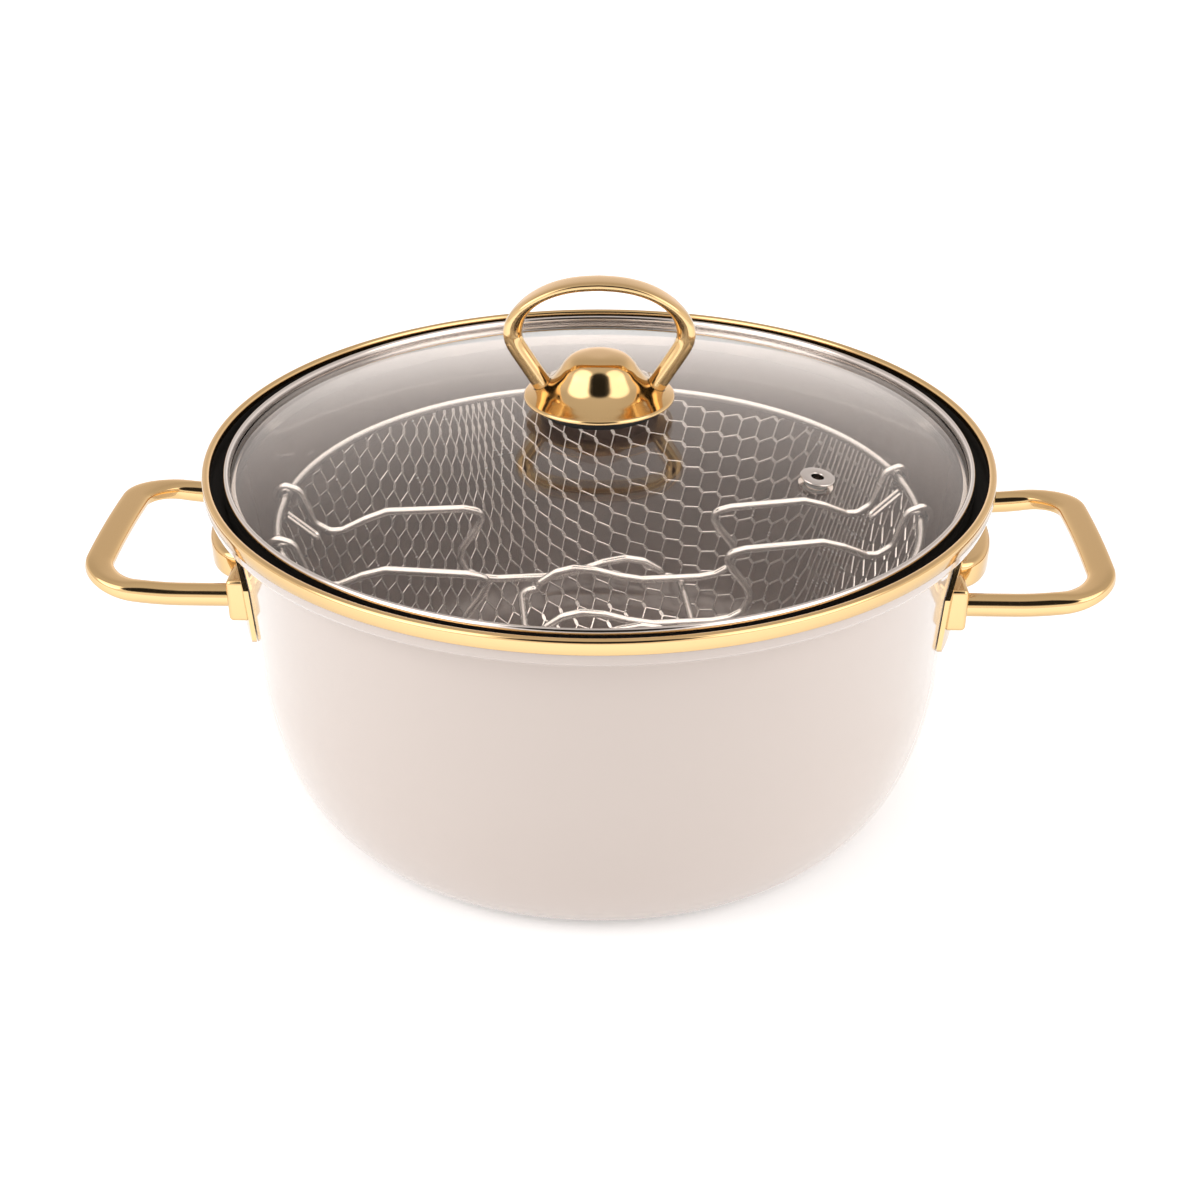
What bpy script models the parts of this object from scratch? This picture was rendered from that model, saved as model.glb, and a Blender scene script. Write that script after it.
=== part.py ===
# Deep frying pot: enamelled steel pot with a stepped rim, a glass lid with a
# bail knob, a loop handle in a bracket on each side, and a basket of expanded
# metal whose two wire handles fold inwards. Metres, +Z up, origin at the
# middle of the base, handles along X.

import math

import bmesh
import bpy
from mathutils import Matrix, Vector

# Pot
POT_HEIGHT = 0.120
RIM_RADIUS = 0.130
POT_WALL = 0.0011
FLOOR_THICKNESS = 0.0018
BASE_RECESS = 0.0005
STAND_RING_WIDTH = 0.010
WALL_TAPER = 0.0028
CORNER_HEIGHT = 0.0607
CORNER_WIDTH = 0.0217
RIM_OVERHANG = 0.0085
NECK_FILLET = 0.0045
LEDGE_DEPTH = 0.0084
LIP_FILLET = 0.0028
BAND_SHEET = 0.0005
BAND_HEIGHT = 0.0046
BAND_TURN_IN = 0.0026
SEAT_GAP = 0.0003

# Lid
LID_INSET = 0.0065
LID_RIM_HEIGHT = 0.0083
LID_BEAD_WIDTH = 0.0023
LID_BEAD_HEIGHT = 0.0022
LID_SHEET = 0.0005
LID_SKIRT_PLAY = 0.0010
LID_SKIRT_DEPTH = 0.0038
GLASS_THICKNESS = 0.0040
GLASS_RISE = 0.0168
VENT_DISTANCE = 0.079
VENT_AZIMUTH = math.radians(-30.0)
VENT_BORE_RADIUS = 0.0020
VENT_TUBE_RADIUS = 0.0035
VENT_FLANGE_RADIUS = 0.0055
VENT_FLANGE_THICKNESS = 0.0007

# Knob
GASKET_RADIUS = 0.0215
GASKET_HEIGHT = 0.0029
KNOB_FLANGE_RADIUS = 0.0247
KNOB_HEIGHT = 0.0164
BAIL_ROD_RADIUS = 0.0031
BAIL_STRIP_WIDTH = 0.0100
BAIL_STRIP_THICKNESS = 0.0030
BAIL_FOOT_SPREAD = 0.0178
BAIL_FOOT_HEIGHT = 0.0028
BAIL_KINK_SPREAD = 0.0282
BAIL_KINK_HEIGHT = 0.0210
BAIL_ARCH_HEIGHT = 0.0176
SCREW_RADIUS = 0.0024
SCREW_DEPTH = 0.0080
SCREW_HEAD_RADIUS = 0.0045
SCREW_HEAD_HEIGHT = 0.0026
WASHER_RADIUS = 0.0090
WASHER_THICKNESS = 0.0010

# Side handles and their brackets
HANDLE_DROP = 0.0384
HANDLE_HALF_SPREAD = 0.0378
HANDLE_PROJECTION = 0.0405
HANDLE_CORNER_RADIUS = 0.015
HANDLE_ROD_RADIUS = 0.0038
HANDLE_STRIP_WIDTH = 0.0092
HANDLE_STRIP_THICKNESS = 0.0046
HANDLE_BOW = 0.0012
HANDLE_LEVEL_RUN = 0.0154
HANDLE_RISE = 0.0042
BRACKET_SHEET = 0.0014
BRACKET_HALF_WIDTH = 0.048
BRACKET_UPPER_HALF_WIDTH = 0.040
BRACKET_SHOULDER = 0.0095
BRACKET_DROP = 0.0220
BRACKET_HEIGHT = 0.0290
SOCKET_WIDTH = 0.0130
SOCKET_HEIGHT = 0.0150
SOCKET_LIFT = 0.0009
SOCKET_INSET = 0.0110
SOCKET_ROUND = 0.0016
SOCKET_DEPTH = 0.0026
HUMP_HALF_WIDTH = 0.030
HUMP_PROJECTION = 0.0015
HUMP_DROP = 0.0280
HUMP_HEIGHT = 0.0100
HUMP_ROUND = 0.0018

# Basket
RING_INSET = 0.0227
RING_DROP = 0.0258
RING_WIRE_RADIUS = 0.0016
BASKET_FLARE = 0.0433
BASKET_CORNER_RADIUS = 0.020
MESH_THICKNESS = 0.0010
MESH_SPLIT_RISE = 0.0059
STRAND_WIDTH = 0.0018
CELL_LENGTH = 0.042
CELL_WIDTH = 0.0243
CELL_TURN = math.radians(21.7)
BASKET_TWIST = math.radians(6.9)

# Basket handles
GRIP_WIRE_RADIUS = 0.0014
EYE_PLAY = 0.0004
EYE_ROOM = 0.0006
LEFT_EYE_HALF_SPREAD = 0.0200
LEFT_GRIP_HALF_SPREAD = 0.0245
LEFT_REACH_SHARE = 1.274
LEFT_GRIP_DROP = 0.0394
RIGHT_EYE_HALF_SPREAD = 0.0160
RIGHT_GRIP_HALF_SPREAD = 0.0160
RIGHT_REACH_SHARE = 1.236
RIGHT_GRIP_DROP = 0.0377
GRIP_BEND_RADIUS = 0.006
STOP_WIRE_RADIUS = 0.0008
STOP_HALF_GAP = 0.0015
STOP_LENGTH = 0.0115
STOP_SLOPE = math.radians(42.0)

# Facets and cuts
ROUND_STEPS = 44
KNOB_STEPS = 24
SMALL_STEPS = 16
SECTION_STEPS = 8
CUT_OVERRUN = 0.003
MERGE_DISTANCE = 0.000005
CREASE_ANGLE = math.radians(40.0)

# Quarter turns, as seen in a profile
RIGHT, UP, LEFT, DOWN = 0.0, math.pi / 2, math.pi, -math.pi / 2

# Pot sizes that follow from those above
neck_radius = RIM_RADIUS - RIM_OVERHANG
corner_start_radius = neck_radius - WALL_TAPER
ledge_height = POT_HEIGHT - LEDGE_DEPTH
ledge_under = ledge_height - POT_WALL
lip_radius = RIM_RADIUS - BAND_SHEET - SEAT_GAP
neck_centre = (neck_radius + NECK_FILLET, ledge_under - NECK_FILLET)
base_radius = corner_start_radius - CORNER_WIDTH

# Side handle and bracket sizes
handle_reach = RIM_RADIUS + HANDLE_PROJECTION
handle_height = POT_HEIGHT - HANDLE_DROP
bracket_top = POT_HEIGHT - BRACKET_DROP
bracket_bottom = bracket_top - BRACKET_HEIGHT
socket_face = RIM_RADIUS - SOCKET_INSET
hump_reach = RIM_RADIUS + HUMP_PROJECTION
hump_top = POT_HEIGHT - HUMP_DROP

# The lid rests on the round shoulder of the neck, by the foot of its rim
lid_radius = RIM_RADIUS - LID_INSET
shoulder_radius = NECK_FILLET + POT_WALL
seat_height = neck_centre[1] + math.sqrt(shoulder_radius ** 2 - (neck_centre[0] - lid_radius) ** 2)
lid_bottom = seat_height + SEAT_GAP
bead_low = lid_bottom + LID_RIM_HEIGHT - LID_BEAD_HEIGHT
bead_inner = lid_radius - LID_BEAD_WIDTH
glass_radius = lid_radius - LID_SHEET - SEAT_GAP
dome_radius = (glass_radius ** 2 + GLASS_RISE ** 2) / (2 * GLASS_RISE)
dome_drop = dome_radius - math.sqrt(dome_radius ** 2 - bead_inner ** 2)
glass_top = bead_low - SEAT_GAP + dome_drop
channel_floor = glass_top - GLASS_RISE - GLASS_THICKNESS - SEAT_GAP
gasket_top = glass_top + SEAT_GAP + GASKET_HEIGHT
knob_bottom = gasket_top + SEAT_GAP
screw_end = knob_bottom + SCREW_DEPTH
screw_bore = SCREW_RADIUS + SEAT_GAP
washer_top = glass_top - GLASS_THICKNESS - SEAT_GAP

# Basket sizes: the wall is a straight line tangent to the bottom corner
ring_radius = RIM_RADIUS - RING_INSET
ring_height = POT_HEIGHT - RING_DROP
basket_flat_radius = ring_radius - BASKET_FLARE
basket_floor = FLOOR_THICKNESS + SEAT_GAP + MESH_THICKNESS / 2
basket_top = ring_height - RING_WIRE_RADIUS - SEAT_GAP - MESH_THICKNESS / 2
corner_centre = (basket_flat_radius, basket_floor + BASKET_CORNER_RADIUS)
wall_run = ring_radius - corner_centre[0]
wall_rise = basket_top - corner_centre[1]
wall_length = math.sqrt(wall_run ** 2 + wall_rise ** 2 - BASKET_CORNER_RADIUS ** 2)
wall_lean = math.atan2(wall_run, wall_rise) - math.atan2(BASKET_CORNER_RADIUS, wall_length)
corner_turn = math.pi / 2 - wall_lean
corner_length = BASKET_CORNER_RADIUS * corner_turn
sheet_radius = basket_flat_radius + corner_length + wall_length
eye_radius = RING_WIRE_RADIUS + EYE_PLAY + GRIP_WIRE_RADIUS


def clear_scene():
    for thing in list(bpy.data.objects):
        bpy.data.objects.remove(thing, do_unlink=True)


def material(name, colour, roughness, metallic=0.0, transmission=0.0):
    made = bpy.data.materials.new(name)
    made.use_nodes = True
    shader = made.node_tree.nodes["Principled BSDF"]
    shader.inputs["Base Color"].default_value = (*colour, 1.0)
    shader.inputs["Roughness"].default_value = roughness
    shader.inputs["Metallic"].default_value = metallic
    shader.inputs["Transmission Weight"].default_value = transmission
    made.diffuse_color = (*colour, 1.0)
    return made


def add_object(name, data, finish, frame=None):
    thing = bpy.data.objects.new(name, data)
    bpy.context.scene.collection.objects.link(thing)
    thing.parent = frame
    if finish is not None:
        data.materials.append(finish)
    return thing


def add_frame(name, turn):
    frame = add_object(name, None, None)
    frame.rotation_euler.z = turn
    return frame


def mesh_object(name, bm, finish, frame=None):
    bmesh.ops.recalc_face_normals(bm, faces=bm.faces)
    data = bpy.data.meshes.new(name)
    bm.to_mesh(data)
    bm.free()
    data.shade_smooth()
    data.set_sharp_from_angle(angle=CREASE_ANGLE)
    return add_object(name, data, finish, frame)


def combine(thing, other, operation):
    change = thing.modifiers.new(operation.lower() + " " + other.name, "BOOLEAN")
    change.operation = operation
    change.solver = "EXACT"
    change.object = other
    other.hide_render = True
    other.display_type = "WIRE"


def arc(centre, radius, start, stop, steps):
    points = []
    for step in range(steps + 1):
        angle = start + (stop - start) * step / steps
        points.append((centre[0] + radius * math.cos(angle), centre[1] + radius * math.sin(angle)))
    return points


def turned(name, outline, steps, finish, frame=None):
    # An outline of (radius, height) points, closed on itself or on the axis, spun about Z.
    bm = bmesh.new()
    verts = [bm.verts.new((radius, 0.0, height)) for radius, height in outline]
    edges = []
    for number, vert in enumerate(verts):
        after = verts[(number + 1) % len(verts)]
        if vert.co.x > 0.0 or after.co.x > 0.0:
            edges.append(bm.edges.new((vert, after)))
    bmesh.ops.spin(bm, geom=verts + edges, axis=(0, 0, 1), cent=(0, 0, 0), steps=steps,
                   angle=2 * math.pi, use_merge=True)
    bmesh.ops.remove_doubles(bm, verts=bm.verts, dist=MERGE_DISTANCE)
    return mesh_object(name, bm, finish, frame)


def rod(name, start, stop, radius, frame=None):
    # A plain cylinder between two places, for cutting.
    along = stop - start
    place = Matrix.Translation((start + stop) / 2) @ along.to_track_quat("Z", "Y").to_matrix().to_4x4()
    bm = bmesh.new()
    bmesh.ops.create_cone(bm, cap_ends=True, segments=SMALL_STEPS, radius1=radius, radius2=radius,
                          depth=along.length, matrix=place)
    return mesh_object(name, bm, None, frame)


def wire(name, run, radius, finish, frame=None, cyclic=False):
    data = bpy.data.curves.new(name, "CURVE")
    data.dimensions = "3D"
    data.bevel_depth = radius
    data.bevel_resolution = 1
    data.use_fill_caps = True
    spline = data.splines.new("POLY")
    spline.points.add(len(run) - 1)
    for point, place in zip(spline.points, run):
        point.co = (*place, 1.0)
    spline.use_cyclic_u = cyclic
    spline.use_smooth = True
    return add_object(name, data, finish, frame)


def smooth_share(value, from_share, to_share):
    share = min(max((value - from_share) / (to_share - from_share), 0.0), 1.0)
    return share * share * (3 - 2 * share)


def lofted_bar(name, path, normals, flat_shares, rod_radius, strip, finish, frame=None):
    # A round bar whose section changes to a flat strip, (width, thickness), along its path.
    bm = bmesh.new()
    rings = []
    for number, (centre, normal, flat) in enumerate(zip(path, normals, flat_shares)):
        along = path[min(number + 1, len(path) - 1)] - path[max(number - 1, 0)]
        across = along.cross(normal).normalized()
        lift = across.cross(along).normalized()
        half_width = rod_radius + (strip[0] / 2 - rod_radius) * flat
        half_thickness = rod_radius + (strip[1] / 2 - rod_radius) * flat
        power = 2 / (2 + flat)
        ring = []
        for step in range(SECTION_STEPS):
            angle = 2 * math.pi * (step + 0.5) / SECTION_STEPS
            c, s = math.cos(angle), math.sin(angle)
            wide = math.copysign(abs(c) ** power, c) * half_width
            thick = math.copysign(abs(s) ** power, s) * half_thickness
            ring.append(bm.verts.new(centre + across * wide + lift * thick))
        rings.append(ring)
    for low, high in zip(rings, rings[1:]):
        for step in range(SECTION_STEPS):
            after = (step + 1) % SECTION_STEPS
            bm.faces.new((low[step], low[after], high[after], high[step]))
    bm.faces.new(rings[0])
    bm.faces.new(rings[-1])
    return mesh_object(name, bm, finish, frame)


def dome_height(radius):
    # Height of the glass's upper face at a distance from the axis.
    return glass_top - dome_radius + math.sqrt(dome_radius ** 2 - radius ** 2)


def wall_radius(height):
    # Outer radius of the pot's straight wall.
    slope = (neck_radius - corner_start_radius) / (neck_centre[1] - CORNER_HEIGHT)
    return corner_start_radius + slope * (height - CORNER_HEIGHT)


def make_pot(enamel, gold):
    recess_radius = base_radius - STAND_RING_WIDTH
    corner_centre_out = (lip_radius - LIP_FILLET, ledge_under + LIP_FILLET)
    lip_centre = (lip_radius - POT_WALL / 2, POT_HEIGHT - BAND_SHEET - SEAT_GAP - POT_WALL / 2)
    sweep_steps = 7
    outside = []
    inside = []
    for step in range(sweep_steps + 1):
        angle = UP * (1 - step / sweep_steps)
        outside.append((base_radius + CORNER_WIDTH * math.cos(angle),
                        CORNER_HEIGHT * (1 - math.sin(angle))))
        inside.append((base_radius + (CORNER_WIDTH - POT_WALL) * math.cos(angle),
                       CORNER_HEIGHT - (CORNER_HEIGHT - FLOOR_THICKNESS) * math.sin(angle)))
    outline = [(0.0, BASE_RECESS), (recess_radius - BASE_RECESS, BASE_RECESS), (recess_radius, 0.0)]
    outline += outside
    outline += arc(neck_centre, NECK_FILLET, LEFT, UP, 3)
    outline += arc(corner_centre_out, LIP_FILLET, DOWN, RIGHT, 3)
    outline += arc(lip_centre, POT_WALL / 2, RIGHT, LEFT, 3)
    outline += arc(corner_centre_out, LIP_FILLET - POT_WALL, RIGHT, DOWN, 2)
    outline += arc(neck_centre, shoulder_radius, UP, LEFT, 3)
    outline += inside[::-1]
    outline.append((0.0, FLOOR_THICKNESS))
    turned("pot_body", outline, ROUND_STEPS, enamel)

    # The band is sheet rolled over the lip, with a short leg turned down inside.
    half = POT_WALL / 2 + SEAT_GAP + BAND_SHEET
    crown = (RIM_RADIUS - half, POT_HEIGHT - half)
    foot = POT_HEIGHT - BAND_HEIGHT
    turn_in = POT_HEIGHT - BAND_TURN_IN
    inner_radius = RIM_RADIUS - 2 * half
    band = [(RIM_RADIUS - BAND_SHEET, foot), (RIM_RADIUS, foot)]
    band += arc(crown, half, RIGHT, LEFT, 4)
    band += [(inner_radius, turn_in), (inner_radius + BAND_SHEET, turn_in)]
    band += arc(crown, half - BAND_SHEET, LEFT, RIGHT, 3)
    turned("rim_band", band, ROUND_STEPS, gold)


def make_lid(glass, steel):
    skirt_outer = neck_radius - POT_WALL - LID_SKIRT_PLAY
    skirt_inner = skirt_outer - LID_SHEET
    skirt_bottom = lid_bottom - LID_SKIRT_DEPTH
    channel_radius = glass_radius + SEAT_GAP
    bead_centre = lid_radius - LID_BEAD_WIDTH / 2
    ring = [(skirt_outer, lid_bottom), (lid_radius, lid_bottom)]
    for wide, high in arc((0.0, 0.0), 1.0, RIGHT, LEFT, 5):
        ring.append((bead_centre + wide * LID_BEAD_WIDTH / 2, bead_low + high * LID_BEAD_HEIGHT))
    ring += [(channel_radius, bead_low), (channel_radius, channel_floor), (skirt_inner, channel_floor),
             (skirt_inner, skirt_bottom), (skirt_outer, skirt_bottom)]
    turned("lid_rim", ring, ROUND_STEPS, steel)

    dome_steps = 5
    upper = []
    for step in range(dome_steps + 1):
        radius = screw_bore + (glass_radius - screw_bore) * step / dome_steps
        upper.append((radius, dome_height(radius)))
    lower = [(radius, height - GLASS_THICKNESS) for radius, height in upper]
    pane = turned("lid_glass", upper + lower[::-1], ROUND_STEPS, glass)

    # The vent eyelet is clinched through the glass, square to the dome.
    half = GLASS_THICKNESS / 2 + SEAT_GAP
    outer = half + VENT_FLANGE_THICKNESS
    eyelet = turned("vent_eyelet", [
        (VENT_BORE_RADIUS, -outer), (VENT_FLANGE_RADIUS, -outer), (VENT_FLANGE_RADIUS, -half),
        (VENT_TUBE_RADIUS, -half), (VENT_TUBE_RADIUS, half), (VENT_FLANGE_RADIUS, half),
        (VENT_FLANGE_RADIUS - VENT_FLANGE_THICKNESS / 2, outer), (VENT_BORE_RADIUS, outer)],
        SMALL_STEPS, steel)
    hole_radius = VENT_TUBE_RADIUS + SEAT_GAP
    hole_end = half + CUT_OVERRUN
    hole = rod("vent_hole", Vector((0.0, 0.0, -hole_end)), Vector((0.0, 0.0, hole_end)), hole_radius)
    combine(pane, hole, "DIFFERENCE")
    tilt = math.asin(VENT_DISTANCE / dome_radius)
    middle = dome_height(VENT_DISTANCE) - GLASS_THICKNESS / 2
    for piece in (eyelet, hole):
        piece.rotation_euler = (0.0, tilt, VENT_AZIMUTH)
        piece.location = (VENT_DISTANCE * math.cos(VENT_AZIMUTH),
                          VENT_DISTANCE * math.sin(VENT_AZIMUTH), middle)


def make_knob(gold, steel, rubber):
    follow_shares = (0.0, 0.5, 1.0)
    gasket = []
    for share in follow_shares:
        radius = screw_bore + (GASKET_RADIUS - screw_bore) * share
        gasket.append((radius, dome_height(radius) + SEAT_GAP))
    gasket += [(GASKET_RADIUS, gasket_top), (screw_bore, gasket_top)]
    turned("knob_gasket", gasket, KNOB_STEPS, rubber)

    # The base sweeps up from a thin flange to a rounded crown. Shares of its radius and height.
    bell_shares = ((1.0, 0.0), (1.0, 0.035), (0.985, 0.08), (0.86, 0.165), (0.74, 0.265), (0.635, 0.40),
                   (0.54, 0.60), (0.455, 0.80), (0.355, 0.93), (0.20, 0.99), (0.0, 1.0))
    bell_outline = [(KNOB_FLANGE_RADIUS * wide, knob_bottom + KNOB_HEIGHT * high)
                    for wide, high in bell_shares]
    bore_end = screw_end + SEAT_GAP
    bell_outline += [(0.0, bore_end), (screw_bore, bore_end), (screw_bore, knob_bottom)]
    bell = turned("knob_base", bell_outline, KNOB_STEPS, gold)

    # The bail: two straight round legs, a kink, and an arch that flattens to a strip.
    foot = Vector((BAIL_FOOT_SPREAD, 0.0, knob_bottom + BAIL_FOOT_HEIGHT))
    kink = Vector((BAIL_KINK_SPREAD, 0.0, knob_bottom + BAIL_KINK_HEIGHT))
    arch_power = 2.2
    leg_steps, arch_steps = 2, 8
    half_path = [foot.lerp(kink, step / leg_steps) for step in range(leg_steps)]
    for step in range(arch_steps + 1):
        angle = UP * step / arch_steps
        half_path.append(Vector((kink.x * math.cos(angle) ** (2 / arch_power), 0.0,
                                 kink.z + BAIL_ARCH_HEIGHT * math.sin(angle) ** (2 / arch_power))))
    half_path[-1].x = 0.0
    path = half_path + [Vector((-point.x, 0.0, point.z)) for point in half_path[-2::-1]]
    normals = [Vector((point.x, 0.0, point.z - foot.z)) for point in path]
    flat_shares = [smooth_share((point.z - kink.z) / BAIL_ARCH_HEIGHT, 0.15, 0.85) for point in path]
    lofted_bar("knob_bail", path, normals, flat_shares, BAIL_ROD_RADIUS,
               (BAIL_STRIP_WIDTH, BAIL_STRIP_THICKNESS), gold)
    slope = (kink - foot).normalized()
    for hand, label in ((1, "right"), (-1, "left")):
        start = foot - slope * SEAT_GAP
        ends = [Vector((hand * point.x, 0.0, point.z)) for point in (start, kink)]
        combine(bell, rod("bail_socket_" + label, *ends, BAIL_ROD_RADIUS + SEAT_GAP), "DIFFERENCE")

    washer_low = washer_top - WASHER_THICKNESS
    turned("knob_washer", [(screw_bore, washer_low), (WASHER_RADIUS, washer_low),
                           (WASHER_RADIUS, washer_top), (screw_bore, washer_top)], SMALL_STEPS, steel)
    head_top = washer_low - SEAT_GAP
    head_low = head_top - SCREW_HEAD_HEIGHT
    head_round = SCREW_HEAD_HEIGHT / 2
    turned("knob_screw", [
        (0.0, head_low), (SCREW_HEAD_RADIUS - head_round, head_low),
        (SCREW_HEAD_RADIUS, head_top - head_round), (SCREW_HEAD_RADIUS, head_top),
        (SCREW_RADIUS, head_top), (SCREW_RADIUS, screw_end), (0.0, screw_end)], SMALL_STEPS, steel)


def make_side_handle(label, frame, gold):
    # A loop of round legs that leave the sockets level, then rise and widen to a flat,
    # slightly bowed grip.
    grip_x = handle_reach - HANDLE_STRIP_WIDTH / 2
    start_x = socket_face - SOCKET_DEPTH
    corner_x = grip_x - HANDLE_CORNER_RADIUS
    corner_y = HANDLE_HALF_SPREAD - HANDLE_CORNER_RADIUS
    leg_steps, grip_steps = 3, 3
    half_path = [(start_x + (corner_x - start_x) * step / leg_steps, HANDLE_HALF_SPREAD)
                 for step in range(leg_steps)]
    half_path += arc((corner_x, corner_y), HANDLE_CORNER_RADIUS, UP, RIGHT, 6)
    half_path += [(grip_x, corner_y * (1 - step / grip_steps)) for step in range(1, grip_steps + 1)]
    flat_path = half_path + [(x, -y) for x, y in half_path[-2::-1]]
    rise_x = socket_face + HANDLE_LEVEL_RUN
    rise_run = grip_x - rise_x
    path = []
    normals = []
    flat_shares = []
    for x, y in flat_path:
        flat = smooth_share((x - start_x) / (grip_x - start_x), 0.58, 0.97)
        bow = HANDLE_BOW * (1 - (y / HANDLE_HALF_SPREAD) ** 2) * flat
        along = max(x + bow - HANDLE_BOW * flat - rise_x, 0.0) / rise_run
        path.append(Vector((x + bow - HANDLE_BOW * flat, y, handle_height + HANDLE_RISE * along ** 2)))
        normals.append(Vector((-2 * along * HANDLE_RISE / rise_run, 0.0, 1.0)))
        flat_shares.append(flat)
    lofted_bar("handle_" + label, path, normals, flat_shares, HANDLE_ROD_RADIUS,
               (HANDLE_STRIP_WIDTH, HANDLE_STRIP_THICKNESS), gold, frame)


def bracket_inner(height):
    return wall_radius(height) + SEAT_GAP


def make_wall_plate(name, gold, frame):
    # A sheet that follows the pot's wall, with sloped upper corners. It starts too
    # deep, and is trimmed to the wall later with everything that joins it.
    rows = ((bracket_bottom, BRACKET_HALF_WIDTH - BRACKET_SHEET),
            (bracket_bottom + BRACKET_SHEET, BRACKET_HALF_WIDTH),
            (bracket_top - BRACKET_SHOULDER, BRACKET_HALF_WIDTH),
            (bracket_top, BRACKET_UPPER_HALF_WIDTH))
    columns = 10
    bm = bmesh.new()
    skins = []
    for offset in (-CUT_OVERRUN, BRACKET_SHEET):
        skin = []
        for height, half_width in rows:
            radius = bracket_inner(height) + offset
            line = []
            for column in range(columns + 1):
                y = half_width * (2 * column / columns - 1)
                line.append(bm.verts.new((math.sqrt(radius ** 2 - y ** 2), y, height)))
            skin.append(line)
        skins.append(skin)
    for skin in skins:
        for low, high in zip(skin, skin[1:]):
            for column in range(columns):
                bm.faces.new((low[column], low[column + 1], high[column + 1], high[column]))
    inner, outer = skins
    border = [(row, 0) for row in range(len(rows))]
    border += [(len(rows) - 1, column) for column in range(1, columns + 1)]
    border += [(row, columns) for row in range(len(rows) - 2, -1, -1)]
    border += [(0, column) for column in range(columns - 1, 0, -1)]
    for number, (row, column) in enumerate(border):
        next_row, next_column = border[(number + 1) % len(border)]
        bm.faces.new((inner[row][column], inner[next_row][next_column],
                      outer[next_row][next_column], outer[row][column]))
    return mesh_object(name, bm, gold, frame)


def rounded_box(name, low, high, rounding, frame):
    bm = bmesh.new()
    size = [b - a for a, b in zip(low, high)]
    middle = [(a + b) / 2 for a, b in zip(low, high)]
    bmesh.ops.create_cube(bm, size=1.0, matrix=Matrix.Translation(middle) @ Matrix.Diagonal((*size, 1.0)))
    bmesh.ops.bevel(bm, geom=bm.edges[:], offset=rounding, segments=2, profile=0.5, affect="EDGES")
    return mesh_object(name, bm, None, frame)


def make_hump(name, frame):
    # D-shaped from above, with an upright front and rounded edges.
    back_x = math.sqrt(bracket_inner(hump_top) ** 2 - HUMP_HALF_WIDTH ** 2) - CUT_OVERRUN
    fullness = 0.75
    steps = 10
    bm = bmesh.new()
    outline = [bm.verts.new((back_x, -HUMP_HALF_WIDTH, hump_top - HUMP_HEIGHT))]
    for step in range(1, steps):
        angle = math.pi * (step / steps - 0.5)
        outline.append(bm.verts.new((back_x + (hump_reach - back_x) * math.cos(angle) ** fullness,
                                     HUMP_HALF_WIDTH * math.sin(angle), hump_top - HUMP_HEIGHT)))
    outline.append(bm.verts.new((back_x, HUMP_HALF_WIDTH, hump_top - HUMP_HEIGHT)))
    raised = bmesh.ops.extrude_face_region(bm, geom=[bm.faces.new(outline)])
    tops = [item for item in raised["geom"] if isinstance(item, bmesh.types.BMVert)]
    bmesh.ops.translate(bm, verts=tops, vec=(0.0, 0.0, HUMP_HEIGHT))
    rims = [edge for edge in bm.edges if abs(edge.verts[0].co.z - edge.verts[1].co.z) < MERGE_DISTANCE]
    bmesh.ops.bevel(bm, geom=rims, offset=HUMP_ROUND, segments=2, profile=0.5, affect="EDGES")
    return mesh_object(name, bm, None, frame)


def make_bracket(label, frame, gold):
    # Pressed bracket: a plate along the wall, a socket for each leg and a hump between them.
    plate = make_wall_plate("bracket_" + label, gold, frame)
    socket_low = handle_height + SOCKET_LIFT - SOCKET_HEIGHT / 2
    ends = (("back", HANDLE_HALF_SPREAD), ("front", -HANDLE_HALF_SPREAD))
    for end, y in ends:
        far_y = HANDLE_HALF_SPREAD + SOCKET_WIDTH / 2
        wall_x = math.sqrt(bracket_inner(socket_low) ** 2 - far_y ** 2)
        low = (wall_x - CUT_OVERRUN, y - SOCKET_WIDTH / 2, socket_low)
        high = (socket_face, y + SOCKET_WIDTH / 2, socket_low + SOCKET_HEIGHT)
        combine(plate, rounded_box("socket_%s_%s" % (label, end), low, high, SOCKET_ROUND, frame), "UNION")
    combine(plate, make_hump("hump_" + label, frame), "UNION")
    trim_low = bracket_bottom - CUT_OVERRUN
    trim_high = bracket_top + CUT_OVERRUN
    trim = turned("wall_trim_" + label, [
        (0.0, trim_low), (bracket_inner(trim_low), trim_low), (bracket_inner(trim_high), trim_high),
        (0.0, trim_high)], 2 * ROUND_STEPS, None, frame)
    combine(plate, trim, "DIFFERENCE")
    for end, y in ends:
        start = Vector((socket_face - SOCKET_DEPTH - SEAT_GAP, y, handle_height))
        stop = Vector((socket_face + CUT_OVERRUN, y, handle_height))
        bore = rod("leg_bore_%s_%s" % (label, end), start, stop, HANDLE_ROD_RADIUS + SEAT_GAP, frame)
        combine(plate, bore, "DIFFERENCE")


def drawn_place(flat):
    # Where a point of the flat sheet lies once the sheet is drawn down into the bowl.
    length = flat.length
    if length <= basket_flat_radius:
        return Vector((flat.x, flat.y, basket_floor))
    turn = min((length - basket_flat_radius) / BASKET_CORNER_RADIUS, corner_turn)
    radius = corner_centre[0] + BASKET_CORNER_RADIUS * math.sin(turn)
    height = corner_centre[1] - BASKET_CORNER_RADIUS * math.cos(turn)
    past = max(length - basket_flat_radius - corner_length, 0.0)
    radius += past * math.sin(wall_lean)
    height += past * math.cos(wall_lean)
    return Vector((flat.x * radius / length, flat.y * radius / length, height))


def hinge_distance(eye_half_spread):
    return math.sqrt(ring_radius ** 2 - eye_half_spread ** 2)


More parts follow.
